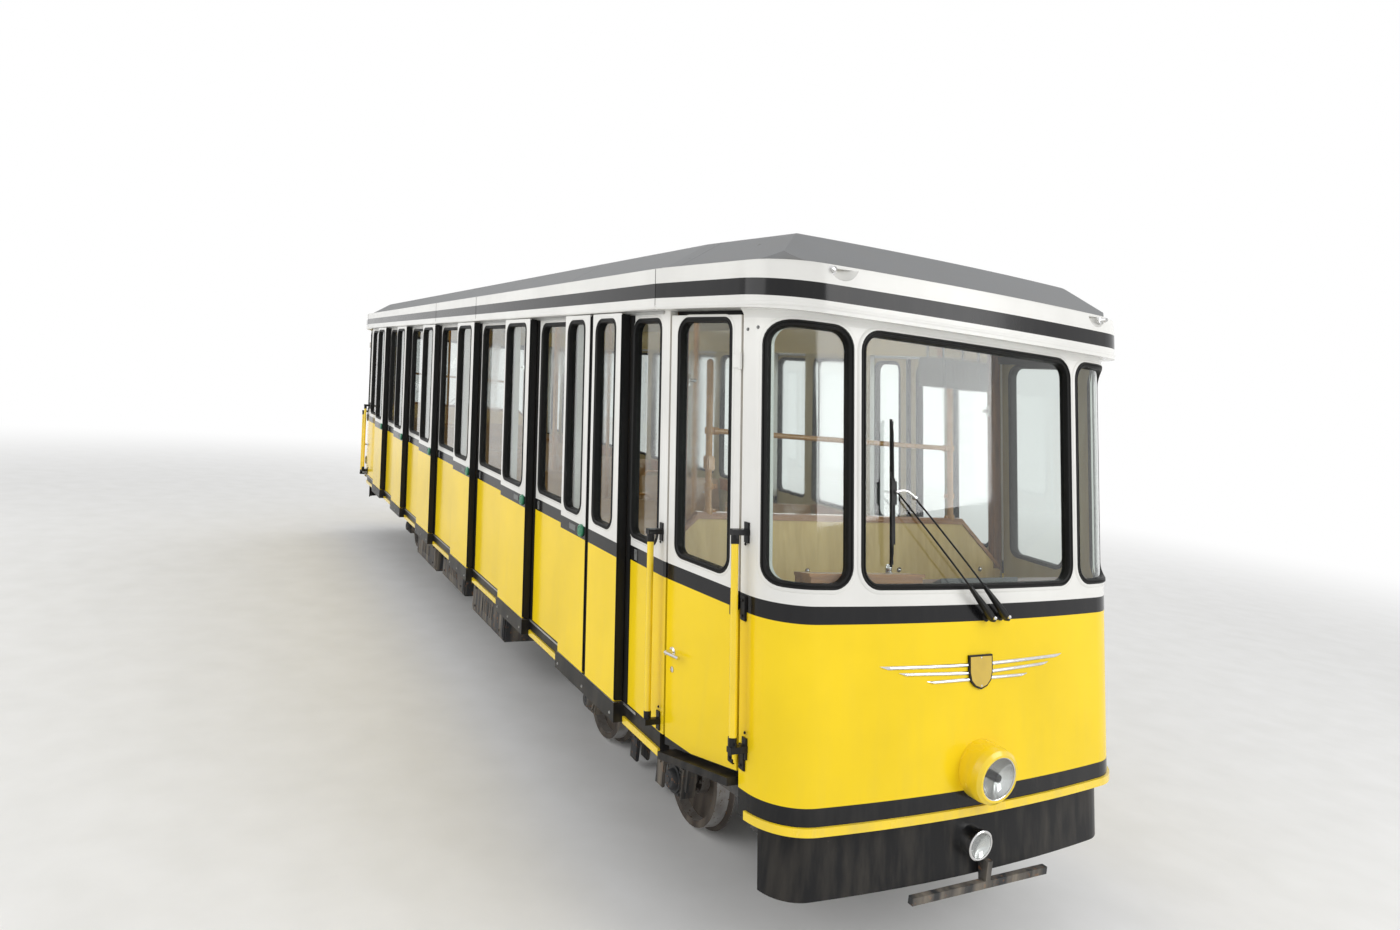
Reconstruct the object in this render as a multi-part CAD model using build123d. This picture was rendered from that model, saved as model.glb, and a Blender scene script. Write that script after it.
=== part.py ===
from build123d import *
import os
from math import atan, cos, sin, sqrt

# Funicular car for one line with a steep, even slope. X runs along the rails to the nose at the
# valley end, Y = 0 is the middle plane, and Z is measured up from the wheels' lowest points.
# Pillars, door edges and both ends lean uphill, so that they are upright on the slope, while
# roof, belt and sill run along the rails. All sizes are in mm, stations along X are at belt height.

# Body shell
LEAN = 0.18                # uphill lean of pillars and ends, per unit of height
HALF_WIDTH = 1150          # outer face of the fixed side panels
WALL = 40                  # thickness of panels, cab doors and end shells
TAPER = 0.112              # how the cab sides draw in, per unit of length
NOSE_RADIUS = 7850         # plan radius of the bowed nose
CORNER_RADIUS = 240        # plan radius between cab side and nose
NOSE_X = 5650              # foremost point of the nose
NOSE_TO_HINGE = 322        # nose to the cab door's hinged edge
CAB_DOOR_WIDTH = 575
CAB_POST = 34              # between cab door and the bend of the side
CAB_PANEL = 436            # fixed panel behind the cab
CAB_DOOR_TOP = 24          # cab door below the cornice, which it swings under

# Levels
Z_SKIRT = 760              # bottom of the body
Z_STRIPE = 795             # top of the narrow stripe
Z_SILL = 868               # bottom of the side panels
Z_BELT = 1596              # bottom of the belt
BELT = 74                  # height of the belt
Z_CORNICE = 2878           # bottom of the cornice
CORNICE = 197              # height of the cornice
CORNICE_PROUD = 70         # how far the cornice stands out from the panels
ROOF_RISE = 170            # roof above the cornice
ROOF_SLOPE = 0.68          # rise of the roof's edges, per unit of width
ROOF_SHELL = 60            # thickness of the roof
ROOF_IN = 50               # roof's edge, in from the cornice's face
STRIPE_PROUD = 12
ROOF_ROUND = 70            # top edges of the roof
SCOOP = 80                 # radius of the scoops for the stub brackets
SCOOP_Y = 800              # their place, out from the middle
REACH = 9000               # further than any piece goes

# Passenger bays, from the nose uphill
BAYS = [
    # pitch, widths of the leaves
    (1585, (408, 408)),
    (1515, (590,)),
    (1510, (575,)),
    (1490, (575,)),
    (1370, (565,)),
    (1440, (570,)),
]
LEAF_GAP = 50              # rubber edge strips between the two leaves of a pair
LEAF_AIR = 14              # between a sliding leaf and the panel behind it
LEAF = 45                  # thickness of a sliding leaf
GAP = 8                    # running gap round every door
LEAF_LAP = 20              # closed leaf over the panel at its near edge
LEAF_COVER = 75            # closed leaf over its own panel, at its uphill edge
SILL_DEPTH = 50            # side beam, in from the panels' faces
STEP_DEPTH = 62            # door sill, out from the panels

# Windows
WINDOW_SILL = 55           # window above the belt
WINDOW_HEAD = 45           # window below the cornice
SIDE_ROUND = 62            # corner radius of the side windows
SCREEN_HALF = 647          # half width of the windscreen
SCREEN_LOW = 1750
SCREEN_HIGH = 2830
SCREEN_ROUND = 85
CORNER_GLASS_Y = 710       # inner edge of the corner windows
CORNER_GLASS_X = 181       # their outer edge, back from the nose
GLASS = 6

# Running gear
TREAD_RADIUS = 280
FLANGE = 28                # flange height, and so the level of the rail's top
TYRE_WIDTH = 110
BACK_TO_BACK = 940
RIM = 42                   # tread down to the wheel's web
WEB_IN = 62                # outer face of the wheel's web, in from the tread's front
FLANGE_WIDTH = 32
HUB_RADIUS = 95
AXLE_RADIUS = 62
JOURNAL_RADIUS = 45
JOURNAL_Y = 650            # middle of each journal
JOURNAL_LENGTH = 110
BOGIE_BASE = 1300
PIVOT_DISTANCE = 6600
RUNNING_FIT = 0.05         # radial play of journals and pivots
PIVOT_RADIUS = 60
BOX_SIZE = 170             # axle box
SIDE_BEAM = 70             # width of a bogie's side beams
BEAM_HEIGHT = 100
BEAM_DROP = 40             # how far the beams' middles hang down
SPRING = 78                # axle box to side beam
SPRING_CORE = 30           # radius of the rubber core inside each coil
GUIDE = 26                 # thickness of the axle-box guides
BRAKE_REACH = 270          # half length of the brake carriers
Z_FRAME = 665              # underside of the main frame
FRAME_HEIGHT = 125
FRAME_Y = 560              # middle of each sole bar
FRAME_FLANGE = 80
FRAME_WEB = 12
BEARER_AIR = 6

# Inside
STEP_TREADS = 2            # floor steps in each bay
FLOOR_LOW = 815            # lowest edge of every floor step
SEAT_HEIGHT = 430
SEAT_DEPTH = 430
BACK_HEIGHT = 430
SHELL = 22                 # thickness of the seat shells
SEAT_RAKE = 60             # foot of the backrest, in from its top
SEAT_BACK = 110            # backrest, in from the bay's uphill end
AISLE = 300                # half width of the aisle
POLE_RADIUS = 17
BULKHEAD = 30
BULKHEAD_HEIGHT = 1900     # top edge of the low walls behind the drivers
BULKHEAD_PAST = 20         # low wall, past the bend of the side
BULKHEAD_TOP = (-970, 790) # level part of their top edge
BULKHEAD_FALL = 0.87       # fall of its sloping ends, per unit of width
CAB_POSTS = (-905, 712)    # tubes on the low wall
CAB_RAIL = 2310            # level of the tube between them
CAB_BEND = 2650            # level at which the tubes turn inwards
CAB_LEAN_IN = 190
DESK_DEPTH = 230
CAB_STEP = 48              # cab steps, out from the wall
CAB_STEP_DOWN = 24         # their top, below the door's foot
CAB_STEP_THICK = 34
DESK_THICK = 190

# Fittings
HINGE_OFF = 10             # line of the cab doors' hinges, out from the wall
HINGE_RADIUS = 9
HINGE_LENGTH = 70
HINGE_LEVELS = (1000, 1610, 2650)
RAIL_RADIUS = 16
RAIL_OFF = STEP_DEPTH      # handrails, out from the wall
RAIL_FOOT = 936            # lower end of a handrail at the bend of the side
RAIL_LENGTH = 860
BRACKET = 26               # height of a handrail's bracket arm
NACELLE_RADIUS = 130
NACELLE_Z = 950
NACELLE_PROUD = 115
LAMP_RADIUS = 96
LOW_LAMP_RADIUS = 66
LOW_LAMP_Z = 618
LOW_LAMP_PROUD = 60
APRON_LOW = 470
APRON_IN = 60              # apron, back from the body
APRON = 10                 # thickness of the apron
GUARD_Z = 415              # underside of the cross bars
GUARD_ARM = 125            # height of their brackets
HAUL_X = 190               # haul-rope lugs, in from the frame's uphill end
HAUL_Z = 430               # level of their bore
HAUL_BORE = 30             # radius of the bore
HAUL_LUG = 30              # thickness of each lug
HAUL_GAP = 90              # between the two lugs

# Worked out from the sizes above
Z_LEAN = Z_BELT + BELT / 2                  # level at which the X stations hold
Z_TOP = Z_CORNICE + CORNICE
HINGE_X = NOSE_X - NOSE_TO_HINGE
KINK_X = HINGE_X - CAB_DOOR_WIDTH - CAB_POST
FIRST_X = KINK_X - CAB_PANEL
FAR_KINK_X = FIRST_X - sum(pitch for pitch, widths in BAYS)
MID_X = (KINK_X + FAR_KINK_X) / 2
AXLE_Z = FLANGE + TREAD_RADIUS
FLANGE_RADIUS = TREAD_RADIUS + FLANGE
LEAF_IN = HALF_WIDTH + LEAF_AIR
LEAF_OUT = LEAF_IN + LEAF
CLIMB = LEAN / (1 + LEAN ** 2)              # rise of a level tread per unit of station
Z_CEILING = Z_TOP + ROOF_RISE - ROOF_SHELL
TILT = atan(LEAN)
FRAME_TOP = Z_FRAME + FRAME_HEIGHT
ENDS = (("nose", 1), ("tail", -1))


def lean(z):
    """Shift along X of a leaning edge at height z."""
    return -LEAN * (z - Z_LEAN)


def facing(station, end):
    """A station of the nose end, mirrored to the tail where end is -1."""
    return MID_X + end * (station - MID_X)


def body_plan():
    """Outline of the whole car, drawn in the plane that is level on the slope."""
    level = cos(TILT)
    corner_x = NOSE_X
    for _ in range(8):
        corner_y = HALF_WIDTH - (corner_x - KINK_X) * TAPER
        corner_x = NOSE_X - NOSE_RADIUS + sqrt(NOSE_RADIUS ** 2 - corner_y ** 2)
    half = [
        (KINK_X, -HALF_WIDTH), (corner_x, -corner_y), (NOSE_X, 0), (corner_x, corner_y),
        (KINK_X, HALF_WIDTH),
    ]
    near = [(x * level, y) for x, y in half]
    far = [(facing(x, -1) * level, -y) for x, y in half]
    edges = []
    for side, start in ((near, far[-1]), (far, near[-1])):
        edges.append(Line(start, side[0]))
        edges.append(Line(side[0], side[1]))
        edges.append(ThreePointArc(side[1], side[2], side[3]))
        edges.append(Line(side[3], side[4]))
    outline = make_face(Wire(edges))
    reach = (corner_x - MID_X) * level - 1
    corners = [v for v in outline.vertices() if abs(v.X - MID_X * level) > reach]
    return fillet(corners, CORNER_RADIUS)


BODY_PLAN = body_plan()
LEVEL = Plane(origin=(0, 0, Z_LEAN), x_dir=(cos(TILT), 0, sin(TILT)), z_dir=(-sin(TILT), 0, cos(TILT)))


def column(grow, low, high):
    """The body's outline, grown outwards or inwards, as a leaning prism between two heights."""
    outline = offset(BODY_PLAN, amount=grow, kind=Kind.INTERSECTION) if grow else BODY_PLAN
    prism = extrude(LEVEL * outline.face(), amount=4000, both=True)
    return prism & box(-REACH, REACH, -REACH, REACH, low, high)


def ring(outer, inner, low, high):
    """A leaning wall between two growths of the body's outline."""
    return column(outer, low, high) - column(inner, low, high)


def slab(x0, x1, low=0, high=4000, y0=-3000, y1=3000, corner=0):
    """Everything between two leaning planes: a parallelogram seen from the side."""
    points = [(x + lean(z), z) for x, z in ((x0, low), (x1, low), (x1, high), (x0, high))]
    shape = Polygon(*points, align=None)
    if corner:
        shape = fillet(shape.vertices(), corner)
    return extrude(Plane.XZ.offset(-y1) * shape, amount=y1 - y0)


def end_slab(x0, x1, end, **rest):
    """A slab at the nose end, or mirrored to the tail."""
    a, b = sorted((facing(x0, end), facing(x1, end)))
    return slab(a, b, **rest)


def box(x0, x1, y0, y1, z0, z1):
    """A plain box between its faces."""
    return Pos((x0 + x1) / 2, (y0 + y1) / 2, (z0 + z1) / 2) * Box(x1 - x0, y1 - y0, z1 - z0)


def box_between(one, other):
    """A plain box between two opposite corners."""
    (x0, x1), (y0, y1), (z0, z1) = [sorted(pair) for pair in zip(one, other)]
    return box(x0, x1, y0, y1, z0, z1)


def rod(start, finish, radius):
    """A round bar between two points."""
    a, b = Vector(start), Vector(finish)
    return extrude(Plane(origin=a, z_dir=b - a) * Circle(radius), amount=(b - a).length)


def both_sides(shapes):
    """Right side pieces with their mirror images."""
    return shapes + [mirror(s, about=Plane.XZ) for s in shapes]


def cut_all(body, tools):
    for tool in tools:
        body = body - tool
    return body


def joined(shapes):
    """One solid from touching pieces."""
    whole = shapes[0]
    for shape in shapes[1:]:
        whole = whole + shape
    return whole


def find_bays():
    """Each bay's leaves, fixed panel and doorway as stations, from the nose uphill."""
    near = FIRST_X
    found = []
    for pitch, widths in BAYS:
        spans = []
        x = near
        for width in widths:
            spans.append((x - width, x))
            x -= width + LEAF_GAP
        far = near - pitch
        panel = (far - LEAF_LAP, spans[-1][0] + LEAF_COVER)
        found.append({"leaves": spans, "panel": panel, "far": far})
        near = far
    return found


FOUND = find_bays()


def find_treads():
    """Each step of the floor as its near and far stations, from the nose uphill."""
    ends = NOSE_X - WALL - 40
    edges = [ends, KINK_X, FIRST_X]
    for bay in FOUND:
        pitch = edges[-1] - bay["far"]
        start = edges[-1]
        for step in range(1, STEP_TREADS + 1):
            edges.append(start - pitch * step / STEP_TREADS)
    edges.append(facing(ends, -1))
    return list(zip(edges, edges[1:]))


TREADS = find_treads()


def floor_level(station):
    """Height of the floor at a station."""
    for near, far in TREADS:
        if far <= station <= near:
            return FLOOR_LOW + (station - far) * CLIMB
    return FLOOR_LOW


# Side walls

def window(x0, x1, y0, y1):
    """Window opening through a side, between belt and cornice."""
    return slab(x0, x1, Z_BELT + BELT + WINDOW_SILL, Z_CORNICE - WINDOW_HEAD, y0, y1, SIDE_ROUND)


def fixed_windows():
    """Stations of the fixed windows of one side."""
    spans = [(FIRST_X + 42, KINK_X - 62)]
    for bay in FOUND:
        spans.append((bay["far"] + 105, bay["leaves"][-1][0] + 12))
    return spans


def side_panels():
    """Fixed panels of the right side and the posts beside the cab doors."""
    wall = ring(0, -WALL, Z_SILL, Z_CORNICE)
    bend = KINK_X + CAB_POST - GAP
    panels = [wall & slab(FIRST_X - LEAF_LAP, bend, y1=0)]
    for bay in FOUND[:-1]:
        far, near = bay["panel"]
        panels.append(slab(far, near, Z_SILL, Z_CORNICE, -HALF_WIDTH, -HALF_WIDTH + WALL))
    panels.append(wall & slab(facing(bend, -1), FOUND[-1]["panel"][1], y1=0))
    holes = [window(x0, x1, -HALF_WIDTH - 50, -HALF_WIDTH + 100) for x0, x1 in fixed_windows()]
    return [cut_all(panel, holes) for panel in panels]


def side_glass():
    """Panes of the fixed side windows, in the middle of the panels."""
    middle = -HALF_WIDTH + WALL / 2
    panes = []
    for x0, x1 in fixed_windows():
        panes.append(window(x0, x1, middle - GLASS / 2, middle + GLASS / 2))
    return panes


def side_sills():
    """Side beam below the panels with the door steps that stand out of it."""
    beam = slab(FAR_KINK_X, KINK_X, Z_SKIRT, Z_SILL, -HALF_WIDTH, -HALF_WIDTH + SILL_DEPTH)
    for bay in FOUND:
        x0 = bay["leaves"][-1][0] - 30
        x1 = bay["leaves"][0][1] + 10
        step = slab(x0, x1, Z_SKIRT + 6, Z_SILL - GAP, -HALF_WIDTH - STEP_DEPTH, -HALF_WIDTH)
        beam = beam + step
    return [beam]


def side_stripes():
    """Narrow stripes along the beam, under the fixed panels."""
    outer = -HALF_WIDTH - STRIPE_PROUD
    spans = [(FIRST_X + 12, KINK_X)]
    for bay in FOUND:
        spans.append((bay["far"] + 12, bay["leaves"][-1][0] - 32))
    return [slab(x0, x1, Z_SKIRT, Z_STRIPE, outer, -HALF_WIDTH) for x0, x1 in spans]


def leaf(x0, x1):
    """Sliding door leaf that hangs outside the panels."""
    plate = slab(x0, x1, Z_SILL, Z_CORNICE - GAP, -LEAF_OUT, -LEAF_IN)
    return plate - window(x0 + 62, x1 - 72, -LEAF_OUT - 50, -LEAF_IN + 50)


# Ends

def corner_window(end):
    """Cutter for the two windows that wrap round the corners."""
    low, high = SCREEN_LOW, SCREEN_HIGH
    outer = NOSE_X - CORNER_GLASS_X
    from_side = end_slab(outer, NOSE_X + 600, end, low=low, high=high, corner=SCREEN_ROUND)
    inner = CORNER_GLASS_Y
    span = HALF_WIDTH + 300 - inner
    front = RectangleRounded(span, high - low, SCREEN_ROUND)
    depth = 1400
    cutters = []
    for side in (1, -1):
        middle = (facing(NOSE_X, end) - depth / 2, side * (inner + span / 2), (low + high) / 2)
        from_front = Plane(origin=middle, x_dir=(0, 1, 0), z_dir=(1, 0, 0)) * front
        cutters.append(extrude(from_front, amount=depth) & from_side)
    return cutters


def windscreen(end):
    """Cutter for the windscreen."""
    middle = (facing(NOSE_X, end) - 600, 0, (SCREEN_LOW + SCREEN_HIGH) / 2)
    outline = RectangleRounded(2 * SCREEN_HALF, SCREEN_HIGH - SCREEN_LOW, SCREEN_ROUND)
    return extrude(Plane(origin=middle, x_dir=(0, 1, 0), z_dir=(1, 0, 0)) * outline, amount=1200)


def end_shell(end):
    """Moulded end with the openings of its three windows."""
    shell = ring(0, -WALL, Z_SKIRT, Z_CORNICE) & end_slab(HINGE_X + GAP, NOSE_X + 900, end)
    return cut_all(shell, corner_window(end) + [windscreen(end)])


def end_glass(end):
    """Windscreen and the two curved corner panes."""
    inner = -WALL / 2 - GLASS / 2
    pane = ring(inner + GLASS, inner, SCREEN_LOW - 60, SCREEN_HIGH + 60)
    return [pane & cutter for cutter in corner_window(end) + [windscreen(end)]]


def end_stripe(end):
    """Narrow proud stripe round the foot of an end."""
    return [ring(STRIPE_PROUD, 0, Z_SKIRT, Z_STRIPE) & end_slab(HINGE_X + 60, NOSE_X + 900, end)]


def apron(end):
    """Plate below the body that closes the end."""
    plate = ring(-APRON_IN, -APRON_IN - APRON, APRON_LOW, Z_SKIRT)
    return [plate & end_slab(HINGE_X + 60, NOSE_X + 900, end)]


# Cornice and roof

def cornice(part):
    """Cornice section: a side, or one end with its two cab sides."""
    whole = ring(CORNICE_PROUD, -WALL, Z_CORNICE, Z_TOP)
    if part in ("right", "left"):
        y0, y1 = (-3000, 0) if part == "right" else (0, 3000)
        whole = whole & slab(FAR_KINK_X, KINK_X, y0=y0, y1=y1)
    else:
        end = 1 if part == "nose" else -1
        whole = whole & end_slab(KINK_X, NOSE_X + 900, end)
        for y in (SCOOP_Y, -SCOOP_Y):
            x = end_surface(y, Z_TOP, end, CORNICE_PROUD + SCOOP / 4)
            whole -= Pos(x, y, Z_TOP + SCOOP / 3) * Sphere(SCOOP)
    return [whole]


def roof_edge(point, outward):
    """Wedge that cuts the roof's slope along one straight side."""
    normal = Vector(outward[0] * ROOF_SLOPE, outward[1] * ROOF_SLOPE, 1)
    along = Vector(-outward[1], outward[0], 0)
    plane = Plane(origin=point, x_dir=along, z_dir=normal)
    return plane * Box(4 * REACH, REACH, REACH, align=(Align.CENTER, Align.CENTER, Align.MIN))


def roof_form(inset, top):
    """Body with sloping edges all round, set in from the cornice's face."""
    grow = CORNICE_PROUD - inset
    foot = Z_TOP + 10 if inset == ROOF_IN else Z_TOP
    shape = column(grow, Z_TOP - 20, top)
    drop = cos(atan(TAPER))
    for side in (1, -1):
        shape -= roof_edge((MID_X, side * (HALF_WIDTH + grow), foot), (0, side))
        for end in (1, -1):
            kink = (facing(KINK_X, end) + lean(foot), side * (HALF_WIDTH + grow), foot)
            shape -= roof_edge(kink, (end * TAPER * drop, side * drop))
    height = top - foot + 40
    base = NOSE_RADIUS + grow
    cone = Cone(base, base - height / ROOF_SLOPE, height, align=(Align.CENTER, Align.CENTER, Align.MIN))
    drum = cone + Cylinder(base, 60, align=(Align.CENTER, Align.CENTER, Align.MAX))
    for end in (1, -1):
        shape &= Pos(facing(NOSE_X - NOSE_RADIUS, end) + lean(foot), 0, foot) * drum
    return shape


def roof():
    """Roof shell: its underside is the ceiling, and follows the sloping edges."""
    outer = roof_form(ROOF_IN, Z_TOP + ROOF_RISE) & box(-REACH, REACH, -REACH, REACH, Z_TOP, Z_TOP + 500)
    rims = [e for e in outer.edges() if e.center().Z > Z_TOP + ROOF_RISE - 1]
    outer = fillet(rims, ROOF_ROUND)
    return [outer - roof_form(ROOF_IN + ROOF_SHELL + 20, Z_CEILING)]


# Cab doors

def cab_door(end):
    """Hinged door of the right side: its foot is level on the slope."""
    wall = ring(0, -WALL, Z_SKIRT, Z_CORNICE - CAB_DOOR_TOP)
    far, near = HINGE_X - CAB_DOOR_WIDTH + GAP, HINGE_X - GAP
    door = wall & end_slab(far, near, end, y1=0)
    foot = Plane(origin=door_foot(near, end), x_dir=LEVEL.x_dir, z_dir=LEVEL.z_dir)
    door -= foot * Box(4000, 4000, 600, align=(Align.CENTER, Align.CENTER, Align.MAX))
    x0, x1 = sorted((facing(far + 72, end), facing(near - 72, end)))
    door -= window(x0, x1, -HALF_WIDTH - 100, -HALF_WIDTH + 200)
    shell = column(0, Z_SKIRT, Z_CORNICE)
    for level in HINGE_LEVELS:
        knuckle, strap = hinge(level, end)
        door = door + (strap - shell) + knuckle
    return door


def hinge_line(z, end):
    """Point on the hinge line of a right-hand cab door at height z."""
    wall = HALF_WIDTH - (HINGE_X - KINK_X) * TAPER
    return (facing(HINGE_X, end) + lean(z), -wall - HINGE_OFF, z)


def hinge(level, end):
    """Knuckle on the hinge line, and the strap that joins it to the door's face."""
    half = HINGE_LENGTH / 2
    knuckle = rod(hinge_line(level - half, end), hinge_line(level + half, end), HINGE_RADIUS)
    x, y, _ = hinge_line(level, end)
    x0, x1 = sorted((facing(HINGE_X - 60, end), facing(HINGE_X - 1, end)))
    strap = slab(x0, x1, level - half + 6, level + half - 6, y - 3, y + HINGE_OFF + 12)
    return knuckle, strap


def door_foot(station, end):
    """Point on the foot of a cab door, at a station of the nose end."""
    x = facing(station, end)
    level = floor_level(x) + GAP
    return (x + lean(level), -HALF_WIDTH, level)


# Floor and seats

def floor_steps():
    """Stepped floor: each tread is level on the slope."""
    start, finish = TREADS[0][0], TREADS[-1][1]
    outline = [(start + lean(FRAME_TOP), FRAME_TOP)]
    for near, far in TREADS:
        top = FLOOR_LOW + (near - far) * CLIMB
        outline.append((near + lean(top), top))
        outline.append((far + lean(FLOOR_LOW), FLOOR_LOW))
    outline.append((finish + lean(FRAME_TOP), FRAME_TOP))
    block = extrude(Plane.XZ.offset(-3000) * Polygon(*outline, align=None), amount=6000)
    return [block & column(-SILL_DEPTH, FRAME_TOP, Z_SILL + 400)]


FLOOR = floor_steps()[0]


def level_plane(x, z):
    """Working plane for inside fittings, level on the slope: its X is along the car, its Y is up."""
    return Plane(origin=(x + lean(z), 0, z), x_dir=(cos(TILT), 0, sin(TILT)), z_dir=(0, -1, 0))


def benches():
    """Seats with their backs uphill, on pedestals, either side of the aisle."""
    seats = []
    top = SEAT_HEIGHT + BACK_HEIGHT
    shell = [
        (SEAT_RAKE - 5, SEAT_HEIGHT - SHELL), (SEAT_RAKE + SEAT_DEPTH, SEAT_HEIGHT + 15 - SHELL),
        (SEAT_RAKE + SEAT_DEPTH, SEAT_HEIGHT + 15), (SEAT_RAKE + SHELL, SEAT_HEIGHT), (SHELL, top), (0, top),
    ]
    under = SEAT_HEIGHT - SHELL / 2
    leg = [(150, -20), (330, -20), (330, under), (150, under)]
    for bay in FOUND:
        back = bay["far"] + SEAT_BACK
        plane = level_plane(back, floor_level(back))
        for y0, y1 in ((AISLE, HALF_WIDTH - WALL - 40), (-HALF_WIDTH + WALL + 40, -AISLE)):
            seat = extrude(plane.offset(-y1) * Polygon(*shell, align=None), amount=y1 - y0)
            stand = extrude(plane.offset(-y1 + 120) * Polygon(*leg, align=None), amount=y1 - y0 - 240)
            seats.append(seat + stand - FLOOR)
    return seats


def poles():
    """Upright grab poles from floor to ceiling beside the aisle."""
    found = []
    low, high = FLOOR_LOW, Z_CEILING + 50
    under = box(-REACH, REACH, -REACH, REACH, 0, Z_CEILING)
    for bay in FOUND:
        x = bay["leaves"][-1][0] - 40
        for y in (AISLE - 30, 30 - AISLE):
            pole = rod((x + lean(low), y, low), (x + lean(high), y, high), POLE_RADIUS)
            found.append((pole & under) - FLOOR)
    return found


def bulkheads():
    """Low wall behind each driver, right across the car, with its top edge sloping at both ends."""
    walls = []
    half = HALF_WIDTH - SILL_DEPTH
    for name, end in ENDS:
        y0, y1 = sorted(end * y for y in BULKHEAD_TOP)
        outline = [
            (-half, FLOOR_LOW), (half, FLOOR_LOW),
            (half, BULKHEAD_HEIGHT - (half - y1) * BULKHEAD_FALL), (y1, BULKHEAD_HEIGHT),
            (y0, BULKHEAD_HEIGHT), (-half, BULKHEAD_HEIGHT - (half + y0) * BULKHEAD_FALL),
        ]
        board = extrude(Plane.YZ.offset(-REACH) * Polygon(*outline, align=None), amount=2 * REACH)
        walls.append((board & end_slab(*bulkhead_span(), end)) - FLOOR)
    return walls


def bulkhead_span():
    """Stations of the low wall's two faces."""
    return (KINK_X + BULKHEAD_PAST - BULKHEAD, KINK_X + BULKHEAD_PAST)


def cab_rails():
    """Tubes that stand on each low wall and turn in to the ceiling, with one across between them."""
    found = []
    for name, end in ENDS:
        x = facing(sum(bulkhead_span()) / 2, end)
        tubes = []
        for y in CAB_POSTS:
            inward = CAB_LEAN_IN if y < 0 else -CAB_LEAN_IN
            spots = [(end * y, FLOOR_LOW), (end * y, CAB_BEND), (end * (y + inward), Z_CEILING + 10)]
            foot, bend, head = [(x + lean(z), across, z) for across, z in spots]
            tubes.append(rod(foot, bend, POLE_RADIUS))
            tubes.append(Pos(*bend) * Sphere(POLE_RADIUS))
            tubes.append(rod(bend, head, POLE_RADIUS))
        one, two = [(x + lean(CAB_RAIL), end * y, CAB_RAIL) for y in CAB_POSTS]
        tubes.append(rod(one, two, POLE_RADIUS - 3))
        found.append(joined(tubes) & box(-REACH, REACH, -REACH, REACH, BULKHEAD_HEIGHT, Z_CEILING))
    return found


def cab_steps():
    """Tread under each cab door, level on the slope, standing out of the wall."""
    found = []
    for name, end in ENDS:
        band = ring(CAB_STEP, -SILL_DEPTH, Z_SKIRT, Z_SILL + 200)
        band = band & end_slab(KINK_X + 60, HINGE_X - 4, end, y1=0)
        foot = Plane(origin=door_foot(HINGE_X, end), x_dir=LEVEL.x_dir, z_dir=LEVEL.z_dir)
        tread = Box(REACH, REACH, CAB_STEP_THICK, align=(Align.CENTER, Align.CENTER, Align.MAX))
        found.append(band & (foot.offset(-CAB_STEP_DOWN) * tread))
    return both_sides(found)


def desks():
    """Driver's desk across each end, under the windscreen."""
    high = SCREEN_LOW - 30
    block = column(-WALL, high - DESK_THICK, high)
    return [block & end_slab(NOSE_X - WALL - DESK_DEPTH, NOSE_X, end) for name, end in ENDS]


# Main frame and running gear

def main_frame():
    """Two channel sole bars with cross members, end beams and bolsters."""
    low, high = Z_FRAME, FRAME_TOP
    x0, x1 = frame_ends()
    whole = []
    for side in (1, -1):
        web = side * FRAME_Y
        bar = box(x0, x1, web - FRAME_WEB / 2, web + FRAME_WEB / 2, low, high)
        outer = sorted((web, web + side * FRAME_FLANGE))
        for z0, z1 in ((low, low + FRAME_WEB), (high - FRAME_WEB, high)):
            bar = bar + box(x0, x1, outer[0], outer[1], z0, z1)
        whole.append(bar)
    reach = HALF_WIDTH - SILL_DEPTH
    for x in cross_members():
        whole.append(box(x - 40, x + 40, -reach, reach, low + 20, high))
    width = FRAME_Y + FRAME_FLANGE
    for x in bogie_stations():
        whole.append(box(x - 170, x + 170, -width, width, low, high))
    frame = joined(whole) & column(-APRON_IN - APRON - 5, 0, high)
    pivot_hole = Cylinder(PIVOT_RADIUS + RUNNING_FIT, 100, align=(Align.CENTER, Align.CENTER, Align.MIN))
    for x in bogie_stations():
        frame -= Pos(x, 0, low - 1) * pivot_hole
    return [frame]


def haul_lugs():
    """Two lugs with a cross bore for the haul rope's socket, on a plate under the frame's uphill end."""
    x = frame_ends()[0] + HAUL_X
    plate = box(x - 110, x + 190, -FRAME_Y + FRAME_WEB, FRAME_Y - FRAME_WEB, Z_FRAME, Z_FRAME + 20)
    for y in (HAUL_GAP / 2, -HAUL_GAP / 2 - HAUL_LUG):
        outline = make_hull((Pos(x, HAUL_Z) * Circle(HAUL_BORE + 35)).edges()
                            + (Pos(x + 40, Z_FRAME - 5) * Rectangle(220, 10)).edges())
        lug = extrude(Plane.XZ.offset(-y - HAUL_LUG) * outline, amount=HAUL_LUG)
        plate = plate + lug
    return [plate - rod((x, -200, HAUL_Z), (x, 200, HAUL_Z), HAUL_BORE)]


def frame_ends():
    """Uphill and valley ends of the main frame."""
    return (facing(NOSE_X - 260, -1) + lean(Z_FRAME), NOSE_X - 260 + lean(Z_FRAME))


def cross_members():
    """Stations of the frame's cross members, the end beams first."""
    x0, x1 = frame_ends()
    return (x0 + 40, x1 - 40, (x0 + x1) / 2, (x0 * 3 + x1) / 4, (x0 + x1 * 3) / 4)


def bogie_stations():
    middle = MID_X + lean(AXLE_Z)
    return (middle + PIVOT_DISTANCE / 2, middle - PIVOT_DISTANCE / 2)


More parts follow.
